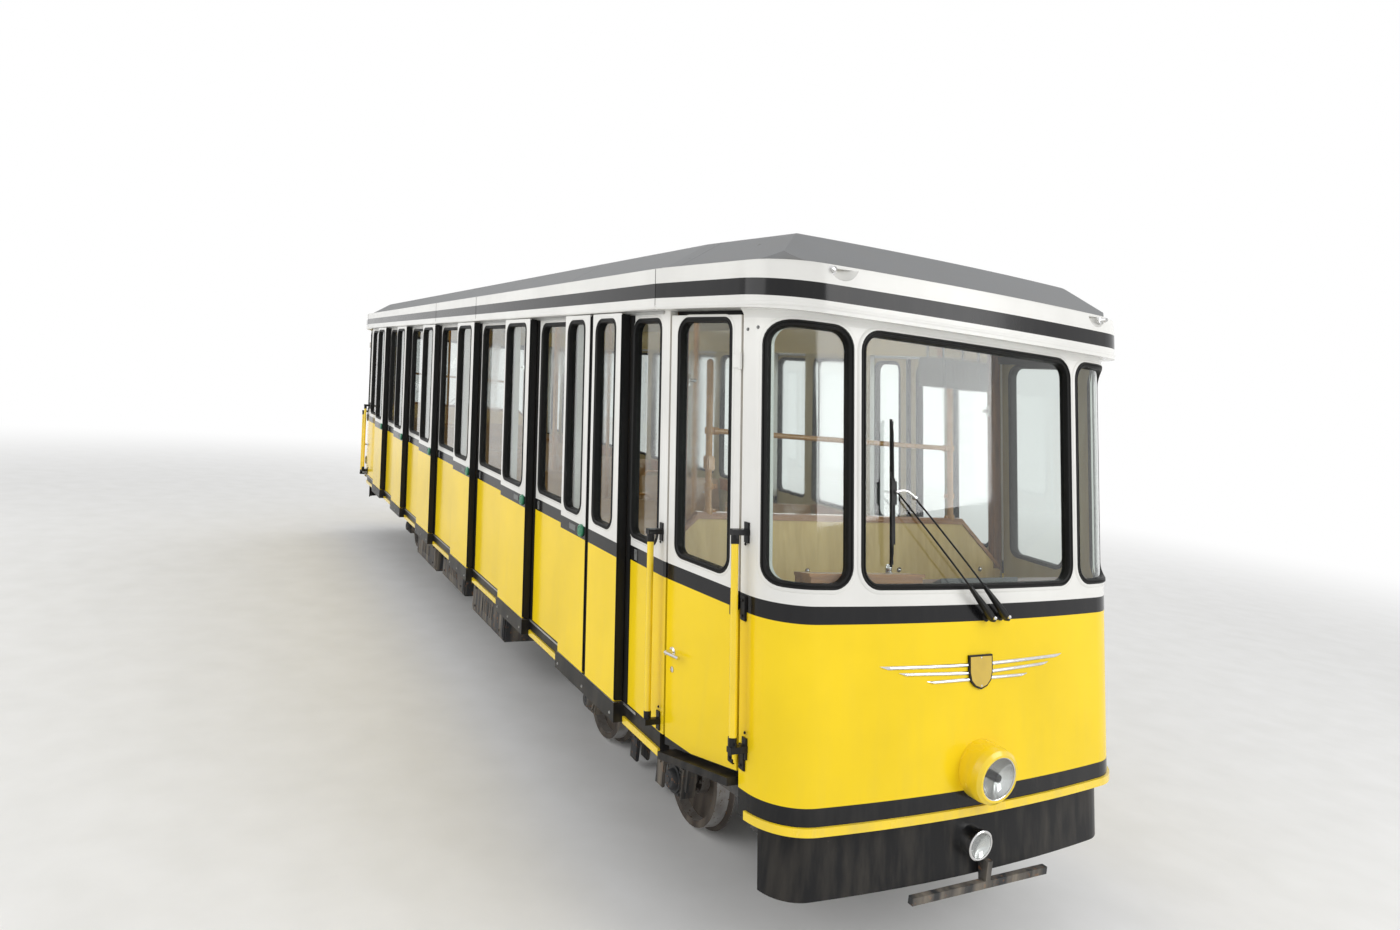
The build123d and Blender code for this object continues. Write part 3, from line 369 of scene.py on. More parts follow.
for bogie, x in BOGIES:
    shapes = []
    for side in (1, -1):
        out = (0, side, 0)
        for axle in (x + WHEELBASE / 2, x - WHEELBASE / 2):
            cover_y = side * (JOURNAL_Y + 0.045)
            shapes.append(turned(BOX_COVER, (axle, cover_y, AXLE_Z), out, 32))
            for dx in (0.066, -0.066):
                for dz in (0.066, -0.066):
                    shapes.append(bolt((axle + dx, cover_y, AXLE_Z + dz), out, 0.012, 0.012))
            shapes.append(coil(axle, side * JOURNAL_Y, *SPRING_SPAN, 0.041, 0.0075, 4))
            for z in SPRING_SPAN:
                shapes.append(turned(SPRING_PLATE, (axle, side * JOURNAL_Y, z), (0, 0, 1), 26))
            for guide in (axle - 0.098, axle + 0.098):
                for z in (0.42, 0.45):
                    shapes.append(bolt((guide, side * (JOURNAL_Y + 0.03), z), out, 0.011, 0.009))
                shapes.append(block(guide - 0.012, guide + 0.012, side * (JOURNAL_Y - 0.028),
                                    side * (JOURNAL_Y + 0.028), 0.268, 0.279, 0.002))
        for jaw in (x - JAW_OFF, x + JAW_OFF):
            y0, y1 = sorted((side * JAW_Y[0], side * JAW_Y[1]))
            shapes.append(block(jaw - 0.055, jaw + 0.055, y0, y1, 0.2, 0.375, 0.012))
            for face in (y0 + 0.008, y1 - 0.008):
                shapes.append(block(jaw - 0.05, jaw + 0.05, face - 0.012, face + 0.012, 0.05, 0.23, 0.006))
            shapes.append(tube([(jaw, y0 - 0.014, 0.215), (jaw, y1 + 0.014, 0.215)], 0.017, 12))
            for z in (0.27, 0.34):
                for way, face in ((-1, y0), (1, y1)):
                    for dx in (-0.03, 0.03):
                        shapes.append(bolt((jaw + dx, face, z), (0, way, 0), 0.013, 0.012))
        cylinder_y, cylinder_z = side * CYLINDER[0], CYLINDER[1]
        shapes.append(turned(CYLINDER_SHAPE, (x, cylinder_y, cylinder_z), (1, 0, 0), 28))
        for k in (x - 0.07, x + 0.07):
            shapes.append(turned(CYLINDER_BAND, (k, cylinder_y, cylinder_z), (1, 0, 0), 28))
            shapes.append(block(k - 0.012, k + 0.012, side * 0.586, side * 0.61, 0.37, 0.44, 0.003))
        hose = ((0, 0.2, 0.426), (0.04, 0.3, 0.4), (0.04, 0.42, 0.34), (0.12, 0.43, 0.3),
                (JAW_OFF - 0.04, 0.452, 0.3))
        shapes.append(tube([(x + dx, side * y, z) for dx, y, z in hose], 0.009, 8))
        for k in (-0.11, 0.11):
            for z in (0.47, 0.53):
                shapes.append(bolt((x + k, side * (JOURNAL_Y + 0.035), z), out, 0.014, 0.011))
    piece(bogie + "_fittings", shapes, frame_paint, bogie)

# Main frame: two channel sole bars and cross members, riveted at their joints, with the brake
# pipe, two thinner lines and the casings of battery and brake gear slung between the bogies.
FRAME_LOW = 0.665
SOLE_Y = 0.56
FRAME_X = (-5.1238, 5.5643)
CASINGS = (
    # x0, x1, side, z0
    (-1.7, -0.75, -1, 0.36),
    (-0.45, 0.45, -1, 0.4),
    (0.75, 1.75, -1, 0.36),
    (-1.6, -0.5, 1, 0.36),
    (-0.1, 0.9, 1, 0.4),
    (1.1, 1.8, 1, 0.36),
)
CASING_Y = (0.66, 0.98)
PIPES = ((0.3, 0.63, 0.021), (0.24, 0.64, 0.012), (-0.31, 0.635, 0.016))   # y, z, radius
shapes = []
for side in (1, -1):
    x = FRAME_X[0] + 0.25
    while x < FRAME_X[1] - 0.2:
        rivet = [(0.011, 0), (0.009, 0.005), (0, 0.008)]
        shapes.append(turned(rivet, (x, side * (SOLE_Y + 0.006), 0.73), (0, side, 0), 10))
        x += 0.22
piece("frame_rivets", shapes, frame_paint)
shapes = []
for x0, x1, side, z0 in CASINGS:
    inner, outer = side * CASING_Y[0], side * CASING_Y[1]
    face = outer + side * 0.006
    shapes.append(block(x0, x1, inner, outer, z0, 0.655, 0.014))
    shapes.append(block(x0 + 0.03, x1 - 0.03, outer - side * 0.004, face, z0 + 0.03, 0.6, 0.004))
    for x in (x0 + 0.12, x1 - 0.12):
        shapes.append(block(x - 0.02, x + 0.02, face - 0.012, face + 0.012, 0.585, 0.62, 0.003))
        shapes.append(bolt((x, face, z0 + 0.07), (0, side, 0), 0.012, 0.01))
        for y in (inner + side * 0.03, outer - side * 0.03):
            shapes.append(block(x - 0.022, x + 0.022, y - 0.004, y + 0.004, 0.6, 0.795, 0.002))
        shapes.append(block(x - 0.02, x + 0.02, inner + side * 0.05, outer - side * 0.05, 0.65, 0.69, 0.002))
    for k in range(6):
        x = (x0 + x1) / 2 - 0.15 + 0.06 * k
        shapes.append(block(x - 0.005, x + 0.005, face - 0.004, face + 0.004, z0 + 0.09, z0 + 0.2, 0.001))
piece("underfloor_casings", shapes, frame_paint)
shapes = [tube([(FRAME_X[0] + 0.3, y, z), (FRAME_X[1] - 0.3, y, z)], r, 10) for y, z, r in PIPES]
for k in range(18):
    x = FRAME_X[0] + 0.5 + k * 0.57
    shapes.append(block(x - 0.015, x + 0.015, 0.2, 0.34, 0.6, 0.672, 0.002))
    shapes.append(block(x - 0.015, x + 0.015, -0.34, -0.28, 0.61, 0.672, 0.002))
piece("brake_pipe", shapes, frame_paint)

# Haul-rope lugs: two thick plates under the uphill end of the frame with a cross bore, bright
# where the pin of the rope's socket has worked in it. The plate is bolted up to the end beams.
BORE = (-4.93376, 0.0, 0.43)
BUSH = [(0.0302, 0), (0.056, 0), (0.056, 0.007), (0.052, 0.01), (0.034, 0.01), (0.0302, 0.007), (0.0302, 0)]
bare_steel = weathered("bare steel", (0.42, 0.41, 0.4), (0.2, 0.13, 0.08), 12.0, 0.3, 0.3, 0.36, 0.25,
                       metallic=0.9)
bushes = [turned(BUSH, (BORE[0], side * 0.075, BORE[2]), (0, side, 0), 40) for side in (1, -1)]
piece("bore_bushes", bushes, bare_steel)
bolts = [bolt((x, y, FRAME_LOW), (0, 0, -1), 0.02, 0.016)
         for x in (-5.02, -4.93, -4.84, -4.77) for y in (0.46, 0.2, -0.46, -0.2)]
piece("haul_plate_bolts", bolts, bare_steel)

# Floor: steps that are level on the slope, covered in dark rubber with round studs, each edge closed by
# a ribbed aluminium nosing along its length.
FIRST_X = 4.283            # stations along the car at belt height, as the pillars stand there
KINK_X = 4.719
HINGE_X = 5.328
NOSE_X = 5.65
MID_X = 0.046
SLOPE = math.atan(0.18)
FLOOR_LOW = 0.815
FLOOR_END = NOSE_X - 0.08
CLIMB = 0.18 / (1 + 0.18 ** 2)
BAYS = (
    # pitch, leaves, leaf width
    (1.585, 2, 0.408),
    (1.515, 1, 0.59),
    (1.51, 1, 0.575),
    (1.49, 1, 0.575),
    (1.37, 1, 0.565),
    (1.44, 1, 0.57),
)
bays = []
near = FIRST_X
for pitch, count, width in BAYS:
    spans = [(near - k * (width + 0.05) - width, near - k * (width + 0.05)) for k in range(count)]
    bays.append({"near": near, "far": near - pitch, "leaves": spans})
    near -= pitch
FAR_KINK_X = near


def facing(station, end):
    """A station of the nose end, mirrored to the tail where end is -1."""
    return MID_X + end * (station - MID_X)


def relief(finish, height, strength, distance):
    """Puts a raised or hollow pattern under a finish's own fine bump."""
    tree = finish.node_tree
    own = next(n for n in tree.nodes if n.type == "BUMP")
    made = shader_node(tree, "Bump", Strength=strength, Distance=distance)
    tree.links.new(height(tree), made.inputs["Height"])
    tree.links.new(made.outputs[0], own.inputs["Normal"])


def stud_height(tree):
    """Round studs in rows over the floor covering, as a height."""
    cells = shader_node(tree, "TexVoronoi", Scale=34.0, Randomness=0.0)
    flat = shader_node(tree, "Mapping", Scale=(1.0, 1.0, 0.0))
    tree.links.new(tree.nodes.new("ShaderNodeTexCoord").outputs["Object"], flat.inputs["Vector"])
    tree.links.new(flat.outputs[0], cells.inputs["Vector"])
    return spread(tree, cells.outputs["Distance"], 0.3, 0.36, 1.0, 0.0)


floor_rubber = weathered("floor rubber", (0.055, 0.055, 0.058), (0.12, 0.115, 0.11),
                         5.0, 0.35, 0.6, 0.62, 0.2)
relief(floor_rubber, stud_height, 0.6, 0.003)
dress(floor_rubber, "floor_steps")
edges = [FLOOR_END, KINK_X, FIRST_X]
for bay in bays:
    edges += [(edges[-1] + bay["far"]) / 2, bay["far"]]
edges.append(facing(FLOOR_END, -1))
TREADS = list(zip(edges, edges[1:]))


def floor_level(station):
    """Height of the floor at a station."""
    low = next(low for high, low in TREADS if low <= station <= high)
    return FLOOR_LOW + (station - low) * CLIMB


aluminium = weathered("ribbed aluminium", (0.5, 0.5, 0.49), (0.3, 0.3, 0.3), 14.0, 0.25, 0.3, 0.38, 0.2,
                      metallic=0.85)
shapes = []
for high, low in TREADS[1:]:
    z = FLOOR_LOW + (high - low) * CLIMB
    x = high + lean(z)
    reach = 1.08 if high < KINK_X else 1.0
    for k in range(5):
        rib_x, rib_z = x - 0.046 + k * 0.009, z - 0.0016 * (5 - k)
        shapes.append(block(rib_x, rib_x + 0.005, -reach, reach, rib_z - 0.006, rib_z + 0.004, 0.001))
    shapes.append(block(x - 0.05, x + 0.003, -reach, reach, z - 0.016, z - 0.0075, 0.001))
    shapes.append(block(x - 0.001, x + 0.004, -reach, reach, z - 0.045, z - 0.004, 0.001))
piece("floor_nosings", shapes, aluminium)

# Side beams: pressed steel along both sides under the panels, painted black, with a boarding step
# of ribbed plate standing out below every door.
HALF_WIDTH = 1.15
Z_SILL = 0.868
STEP_BOLT_Z = 0.8
black_paint = weathered("black paint", (0.009, 0.009, 0.01), (0.05, 0.04, 0.035), 6.0, 0.05, 0.12, 0.34, 0.05,
                        specular=0.22)
dress(black_paint, "side_sills", "aprons", "rail_brackets", "wipers", "cab_steps")
shapes = []
for bay in bays:
    x0, x1 = bay["leaves"][-1][0] - 0.03, bay["leaves"][0][1] + 0.01
    for side in (1, -1):
        for k in range(6):
            y = side * (HALF_WIDTH + 0.01 + k * 0.009)
            shapes.append(block(x0 + 0.012, x1 - 0.012, y - 0.0022, y + 0.0022, 0.858, 0.8625, 0.001, True))
        for x in (x0 + 0.05, (x0 + x1) / 2, x1 - 0.05):
            place = (x + lean(STEP_BOLT_Z), side * 1.212, STEP_BOLT_Z)
            shapes.append(bolt(place, (0, side, 0), 0.009, 0.005))
piece("step_ribs", shapes, aluminium)

# Body: steel panels, moulded ends and doors under one gloss livery. A black foot band, yellow to the
# waist, a black belt and white above run along the whole car, doors included, at the same levels.
# Inside, the same walls are lined with cream laminate of a faint upright grain.
YELLOW = (0.93, 0.66, 0.012, 1)
WHITE = (0.78, 0.775, 0.745, 1)
BLACK = (0.01, 0.01, 0.011, 1)
BELT_Z = (1.596, 1.67)
livery, li, lo = new_group(
    "Livery bands",
    [("Foot", BLACK), ("Lower", YELLOW), ("Belt", BLACK), ("Upper", WHITE), ("Lining", (0.5, 0.42, 0.24, 1))],
    [("Colour", BLACK), ("Outside", 1.0)],
)
place, outwards = where_is(livery), where_is(livery, "Normal")
colour = li.outputs["Foot"]
for level, socket in ((Z_SILL, "Lower"), (BELT_Z[0], "Belt"), (BELT_Z[1], "Upper")):
    above = spread(livery, place["Z"], level - 0.0006, level + 0.0006)
    colour = mixed(livery, above, colour, li.outputs[socket])
sideways = times(livery, place["Y"], outwards["Y"])
along = reckon(livery, "ADD", place["X"], times(livery, place["Z"], 0.18))
along = reckon(livery, "SUBTRACT", along, MID_X + 0.18 * 1.633)
in_cab = reckon(livery, "GREATER_THAN", reckon(livery, "ABSOLUTE", along), KINK_X - MID_X - 0.01)
lengthways = times(livery, times(livery, along, in_cab, outwards["X"]), 0.3)
outside = reckon(livery, "GREATER_THAN", reckon(livery, "ADD", sideways, lengthways), -0.25)
livery.links.new(mixed(livery, outside, li.outputs["Lining"], colour), lo.inputs["Colour"])
livery.links.new(outside, lo.inputs["Outside"])


def livery_paint(tree):
    """The banded livery, with a wooden grain on the lining."""
    group = shader_node(tree, "Group", node_tree=livery)
    grain = spread(tree, noise(tree, 9.0, 5.0, (1.0, 1.0, 0.12)), 0.35, 0.65)
    feed(tree, mixed(tree, grain, (0.52, 0.44, 0.25, 1), (0.42, 0.33, 0.17, 1)), group.inputs["Lining"])
    return group.outputs["Colour"]


body_paint = weathered("livery paint", livery_paint, (0.1, 0.09, 0.08), 1.6, 0.0, 0.05, 0.16, 0.012,
                       coat=0.06, specular=0.24)
dress(body_paint, "side_panels_left", "side_panels_right", "nose_shell", "tail_shell",
      *(name for name in nodes if name.startswith(("leaf", "cab_door"))))
yellow_paint = weathered("yellow paint", YELLOW[:3], (0.25, 0.2, 0.12), 5.0, 0.03, 0.2, 0.22, 0.03, coat=0.5)
dress(yellow_paint, "stripes", "nacelles", "handrails")

# Window rubbers: black sections pressed round every opening, with a filler cord in the groove of
# the outer lip that locks the pane. Side windows are flat; their uprights lean with the pillars.
WINDOW_LOW = 1.725
WINDOW_HIGH = 2.833
WINDOW_ROUND = 0.062
HANDS = ((-1, "right"), (1, "left"))
rubber = weathered("window rubber", (0.011, 0.011, 0.011), (0.03, 0.029, 0.028), 11.0, 0.1, 0.06, 0.46, 0.1,
                   specular=0.16)


def rounded(corners, radius, steps=7):
    """Closed flat outline with its corners rounded, as points in its own plane."""
    corners = [Vector(c) for c in corners]
    outline = []
    for k, corner in enumerate(corners):
        before = (corners[k - 1] - corner).normalized()
        after = (corners[(k + 1) % len(corners)] - corner).normalized()
        half = before.angle(after) / 2
        middle = corner + (before + after).normalized() * (radius / math.sin(half))
        first = corner + before * (radius / math.tan(half)) - middle
        last = corner + after * (radius / math.tan(half)) - middle
        sweep = first.angle(last)
        for n in range(steps + 1):
            angle = sweep * n / steps
            arm = first * math.sin(sweep - angle) + last * math.sin(angle)
            outline.append(middle + arm / math.sin(sweep))
    return outline


def side_outline(x0, x1):
    """Outline of a side window between two stations, as (x, z)."""
    low, high = WINDOW_LOW, WINDOW_HIGH
    corners = ((x0 + lean(low), low), (x1 + lean(low), low), (x1 + lean(high), high), (x0 + lean(high), high))
    return rounded(corners, WINDOW_ROUND)


def side_window(x0, x1, side, face):
    """Points and normals of a flat side window in a wall whose outer face is at face from the middle."""
    points = [Vector((x, side * face, z)) for x, z in side_outline(x0, x1)]
    return points, [Vector((0, side, 0))] * len(points)


def around(points, normals, section):
    """Sweeps a closed section round a closed outline: (outwards in the wall, out of the wall)."""
    middle = sum(points, Vector()) / len(points)
    made = []
    for k, (p, normal) in enumerate(zip(points, normals)):
        ahead = (points[(k + 1) % len(points)] - points[k - 1]).normalized()
        outwards = ahead.cross(normal).normalized()
        if outwards.dot(p - middle) < 0:
            outwards = -outwards
        made += [p + outwards * a + normal * b for a, b in section]
    return made, walls(len(points), len(section), closed=True)


def rubber_section(lip, wall, crown=0.007, back=0.007):
    """Section that grips the wall's edge and the pane, from outside to inside."""
    return [(lip, 0.0), (lip, crown * 0.6), (lip * 0.75, crown), (lip * 0.25, crown * 1.1),
            (lip * 0.12, crown * 0.55), (-lip * 0.12, crown * 0.55), (-lip * 0.25, crown * 1.05),
            (-lip * 0.85, crown * 0.5), (-lip, -0.004), (-lip, -wall + 0.004),
            (-lip * 0.7, -wall - back * 0.7), (0, -wall - back), (lip * 0.8, -wall - back * 0.7),
            (lip, -wall)]


fixed = [(FIRST_X + 0.042, KINK_X - 0.062)]
fixed += [(bay["far"] + 0.105, bay["leaves"][-1][0] + 0.012) for bay in bays]
for side, hand in HANDS:
    rubbers = [around(*side_window(x0, x1, side, HALF_WIDTH), rubber_section(0.0125, 0.04))
               for x0, x1 in fixed]
    piece("side_rubbers_" + hand, rubbers, rubber)

# Cab glazing: one wide windscreen and a pane bent round each corner, in heavier rubbers of the same
# kind that follow the bowed and rounded end. The panel's edge is pressed up round every rubber.
ENDS = (("nose", 1), ("tail", -1))
NOSE_RADIUS = 7.85
CORNER_RADIUS = 0.24
TAPER = 0.112
SCREEN = (0.647, 1.75, 2.83, 0.085)   # half width, foot, head, corner radius
CORNER_INNER = 0.71
CORNER_OUTER = NOSE_X - 0.181
RUN, STATION, WIDTH, NORMAL_X, NORMAL_Y = range(5)   # columns of the end's outline


def end_outline():
    """Half of the end's outline from the middle to the bend of the side, in the plane level on the
    slope: distance run, length, width and the two parts of the normal."""
    level = math.cos(SLOPE)
    corner_x = NOSE_X
    for _ in range(8):
        corner_y = HALF_WIDTH - (corner_x - KINK_X) * TAPER
        corner_x = NOSE_X - NOSE_RADIUS + math.sqrt(NOSE_RADIUS ** 2 - corner_y ** 2)
    bow = (NOSE_X - corner_x) * level
    radius = (corner_y ** 2 + bow ** 2) / (2 * bow)
    centre = Vector((NOSE_X * level - radius, 0))
    kink = Vector((KINK_X * level, HALF_WIDTH))
    along = (Vector((corner_x * level, corner_y)) - kink).normalized()
    inward = Vector((along.y, -along.x))
    start = kink + inward * CORNER_RADIUS - centre
    half_b = start.dot(along)
    run = -half_b + math.sqrt(half_b ** 2 - start.dot(start) + (radius - CORNER_RADIUS) ** 2)
    middle = centre + start + along * run
    turn = (middle - centre).normalized()
    first, last = math.atan2(turn.y, turn.x), math.atan2(-inward.y, -inward.x)
    spots = [(centre + Vector((math.cos(a), math.sin(a))) * radius, a)
             for a in (first * k / 40 for k in range(41))]
    for k in range(1, 25):
        angle = first + (last - first) * k / 24
        spots.append((middle + Vector((math.cos(angle), math.sin(angle))) * CORNER_RADIUS, angle))
    end_of_corner = spots[-1][0]
    spots += [(end_of_corner.lerp(kink, k / 12), last) for k in range(1, 13)]
    table, run = [], 0.0
    for k, (p, angle) in enumerate(spots):
        run += (p - spots[k - 1][0]).length if k else 0.0
        table.append((run, p.x / level, p.y, math.cos(angle), math.sin(angle)))
    return table


OUTLINE = end_outline()


def reading(value, column, wanted=RUN):
    """Reads one column of the outline where another column has a value."""
    for one, two in zip(OUTLINE, OUTLINE[1:]):
        if min(one[column], two[column]) <= value <= max(one[column], two[column]):
            share = (value - one[column]) / ((two[column] - one[column]) or 1.0)
            return one[wanted] + (two[wanted] - one[wanted]) * share
    return OUTLINE[-1][wanted]


def skin(run, z, end=1, out=0.0):
    """Point and normal on an end: run is measured round the outline, to the left where positive."""
    hand = 1 if run >= 0 else -1
    run = min(abs(run), OUTLINE[-1][RUN])
    station, y, nx, ny = (reading(run, RUN, column) for column in (STATION, WIDTH, NORMAL_X, NORMAL_Y))
    normal = Vector((end * nx * math.cos(SLOPE), hand * ny, end * nx * math.sin(SLOPE)))
    return Vector((facing(station, end) + lean(z), hand * y, z)) + normal * out, normal


def run_at(y):
    """Run round the outline where it reaches a distance from the middle plane."""
    return math.copysign(reading(abs(y), WIDTH), y)


def filled_in(loop, step):
    """Closed outline with points added along its longer edges."""
    dense = []
    for a, b in zip(loop, loop[1:] + loop[:1]):
        count = max(1, int((b - a).length / step))
        dense += [a.lerp(b, k / count) for k in range(count)]
    return dense


def screen_outline(end):
    """Outline of the windscreen on an end: points and normals."""
    half, low, high, radius = SCREEN
    flat = rounded([(-half, low), (half, low), (half, high), (-half, high)], radius)
    return [skin(run_at(y), z, end) for y, z in filled_in(flat, 0.05)]


def corner_outline(end, hand):
    """Outline of a corner pane: rounded from the front at its inner edge and from the side at its outer."""
    _, low, high, radius = SCREEN
    middle = (low + high) / 2
    inner = rounded([(CORNER_INNER, low), (1.6, low), (1.6, high), (CORNER_INNER, high)], radius, 8)
    inner = [Vector((run_at(y), z)) for y, z in inner if y < CORNER_INNER + radius + 0.001]
    outer = rounded([(CORNER_OUTER + lean(low), low), (CORNER_OUTER + 0.6, low), (CORNER_OUTER + 0.4, high),
                     (CORNER_OUTER + lean(high), high)], radius, 8)
    outer = [(x - lean(z), z) for x, z in outer]
    outer = [Vector((reading(station, STATION), z)) for station, z in outer if station < CORNER_OUTER + 0.11]
    front = [p for p in inner if p.y > middle] + [p for p in inner if p.y < middle]
    feet = sorted((p for p in outer if p.y < middle), key=lambda p: p.x)
    heads = sorted((p for p in outer if p.y > middle), key=lambda p: -p.x)
    loop = front + [Vector((front[-1].x + (feet[0].x - front[-1].x) * k / 5, low)) for k in range(1, 5)]
    loop += feet + heads
    loop += [Vector((heads[-1].x + (front[0].x - heads[-1].x) * k / 5, high)) for k in range(1, 5)]
    return [skin(hand * run, z, end) for run, z in filled_in(loop, 0.06)]


def bead(points, normals, lip, width=0.012, high=0.0035):
    """Pressed edge of the panel round a window rubber."""
    return around(points, normals, [
        (lip - 0.001, 0.0), (lip, high), (lip + width * 0.35, high * 1.15), (lip + width * 0.75, high * 0.7),
        (lip + width, 0.0), (lip + width, -0.003), (lip - 0.001, -0.003)])


end_windows = []
for name, end in ENDS:
    outlines = (screen_outline(end), corner_outline(end, 1), corner_outline(end, -1))
    end_windows.append((name, [tuple(zip(*outline)) for outline in outlines]))
for name, windows in end_windows:
    rubbers = [around(*window, rubber_section(0.0135, 0.04, 0.009)) for window in windows]
    piece(name + "_rubbers", rubbers, rubber)
for name, windows in end_windows:
    edges = [bead(*window, 0.0135, 0.018, 0.005) for window in windows]
    piece(name + "_window_edges", edges, body_paint)
for side, hand in HANDS:
    edges = [bead(*side_window(x0, x1, side, HALF_WIDTH), 0.0125) for x0, x1 in fixed]
    piece("side_window_edges_" + hand, edges, body_paint)

# Glass: toughened panes, faintly grey-green, with a little dust and the marks of the cleaner's
# leather on them. The panes in the fixed sides and ends are the car's own solids. Light that
# falls on the inside of the car comes straight through them.
glass = bpy.data.materials.new("window glass")
glass.use_nodes = True
tree = glass.node_tree
shader = tree.nodes["Principled BSDF"]
for socket, value in (("Base Color", (0.84, 0.875, 0.86, 1)), ("Metallic", 0.0), ("Transmission Weight", 1.0),
                      ("IOR", 1.45), ("Specular IOR Level", 0.3)):
    shader.inputs[socket].default_value = value
wiped = noise(tree, 2.5, 5.0, (1.0, 1.0, 0.4))
tree.links.new(spread(tree, wiped, 0.45, 0.75, 0.0, 0.09), shader.inputs["Roughness"])


def shown_by(tree, rays, plain, other):
    """Mixes two shaders: the other one for the named kinds of ray, the plain one for all else."""
    path = tree.nodes.new("ShaderNodeLightPath")
    kinds = path.outputs[rays[-1]]
    for ray in rays[-2::-1]:
        kinds = reckon(tree, "MAXIMUM", path.outputs[ray], kinds)
    mix = tree.nodes.new("ShaderNodeMixShader")
    for number, output in enumerate((kinds, plain, other)):
        tree.links.new(output, mix.inputs[number])
    return mix.outputs[0]


clear = shader_node(tree, "BsdfTransparent", Color=(0.8, 0.84, 0.82, 1))
lit = shown_by(tree, ("Is Shadow Ray", "Is Diffuse Ray"), shader.outputs[0], clear.outputs[0])
tree.links.new(lit, tree.nodes["Material Output"].inputs[0])
dress(glass, "fixed_glass")

# Sliding doors: light-alloy leaves that hang outside the panels, each with its own pane, a rubber
# buffer down its closing edge and, on all but the first, a green push-button on the belt. The fixed
# panel's edge behind carries the matching black seal.
LEAF_FACE = 1.209
LEAF_THICK = 0.045
LEAF_BACK = LEAF_FACE - LEAF_THICK
BUFFER_TOP = 2.868
BUTTON_Z = 1.64
PLATE_Z = 1.635
LOCK_Z = 1.645
BUFFERS = {"1a": 0.007, "1b": 0.021}   # width of the closing edge's buffer; 0.02 on all other leaves
BUTTON = [(0, 0), (0.036, 0), (0.037, 0.006), (0.033, 0.013), (0.026, 0.014), (0.022, 0.009), (0.019, 0.009),
          (0.019, 0.012), (0.014, 0.0145), (0.007, 0.0158), (0, 0.016)]
LOCK = [(0, 0), (0.008, 0), (0.008, 0.004), (0.0035, 0.0045), (0.003, 0.002), (0, 0.002)]
button_green = weathered("button green", (0.012, 0.2, 0.095), (0.1, 0.3, 0.2), 20.0, 0.1, 0.1, 0.3, 0.03,
                         coat=0.4)
plate_grey = weathered("plate grey", (0.16, 0.165, 0.165), (0.3, 0.3, 0.3), 25.0, 0.15, 0.2, 0.4, 0.05,
                       metallic=0.3)
chrome = weathered("chrome", (0.72, 0.72, 0.72), (0.4, 0.38, 0.35), 16.0, 0.05, 0.12, 0.12, 0.02,
                   metallic=1.0)


def upright(x0, x1, side, y0, y1, z0, z1, edge):
    """Leaning strip on one side, between two stations and two distances from the middle plane."""
    return block(x0, x1, side * y0, side * y1, z0, z1, edge, True)


def pane(points, normals, depths):
    """Pane of a window's outline, between two depths under the wall's outer face."""
    return [p - n * depth for depth in depths for p, n in zip(points, normals)], walls(2, len(points))


for number, bay in enumerate(bays, 1):
    for letter, (x0, x1) in zip("ab", bay["leaves"]):
        tag = str(number) + (letter if len(bay["leaves"]) > 1 else "")
        for side, hand in HANDS:
            body = "leaf_" + hand + "_" + tag
            window = side_window(x0 + 0.062, x1 - 0.072, side, LEAF_FACE)
            section = rubber_section(0.012, LEAF_THICK, back=0.001)
            piece(body + "_rubber", [around(*window, section)], rubber, body)
            piece(body + "_window_edge", [bead(*window, 0.012, 0.01)], body_paint, body)
            piece(body + "_pane", [pane(*window, (0.0195, 0.0255))], glass, body)
            strips = [upright(x0 + 0.004, x1 - 0.004, side, LEAF_BACK + 0.006, LEAF_FACE - 0.006,
                              Z_SILL - 0.005, Z_SILL + 0.004, 0.002)]
            for a, b in [(x1, x1 + BUFFERS.get(tag, 0.02))] + ([(x0 - 0.021, x0)] if tag == "1a" else []):
                middle = (a + b) / 2
                strips.append(upright(a, b, side, LEAF_BACK - 0.004, LEAF_FACE - 0.003, Z_SILL + 0.004,
                                      BUFFER_TOP, 0.006))
                strips.append(upright(middle - 0.004, middle + 0.004, side, LEAF_FACE - 0.004,
                                      LEAF_FACE + 0.0015, Z_SILL + 0.01, BUFFER_TOP - 0.006, 0.002))
            piece(body + "_buffers", strips, rubber, body)
            if tag == "1a":
                continue
            out = (0, side, 0)
            button = turned(BUTTON, (x1 - 0.058 + lean(BUTTON_Z), side * LEAF_FACE, BUTTON_Z), out, 36)
            piece(body + "_button", [button], button_green, body)
            plate = [upright(x1 - 0.255, x1 - 0.15, side, LEAF_FACE - 0.001, LEAF_FACE + 0.002, 1.618, 1.652,
                             0.001)]
            for x in (x1 - 0.249, x1 - 0.156):
                plate.append(bolt((x + lean(PLATE_Z), side * (LEAF_FACE + 0.002), PLATE_Z), out, 0.003,
                                  0.001))
            piece(body + "_plate", plate, plate_grey, body)
seals, locks = [], []
for bay in bays:
    x, wall = bay["near"], HALF_WIDTH
    for side in (1, -1):
        seals.append(upright(x - 0.015, x + 0.05, side, wall - 0.002, wall + 0.006, Z_SILL, 2.876, 0.003))
        seals.append(upright(x - 0.02, x, side, wall - 0.038, wall + 0.002, Z_SILL + 0.002, 2.874, 0.003))
        locks.append(upright(x + 0.1, x + 0.132, side, wall - 0.001, wall + 0.003, 1.606, 1.66, 0.001))
        spot = (x + 0.116 + lean(LOCK_Z), side * (wall + 0.003), LOCK_Z)
        locks.append(turned(LOCK, spot, (0, side, 0), 20))
piece("door_post_seals", seals, rubber)
piece("panel_locks", locks, plate_grey)

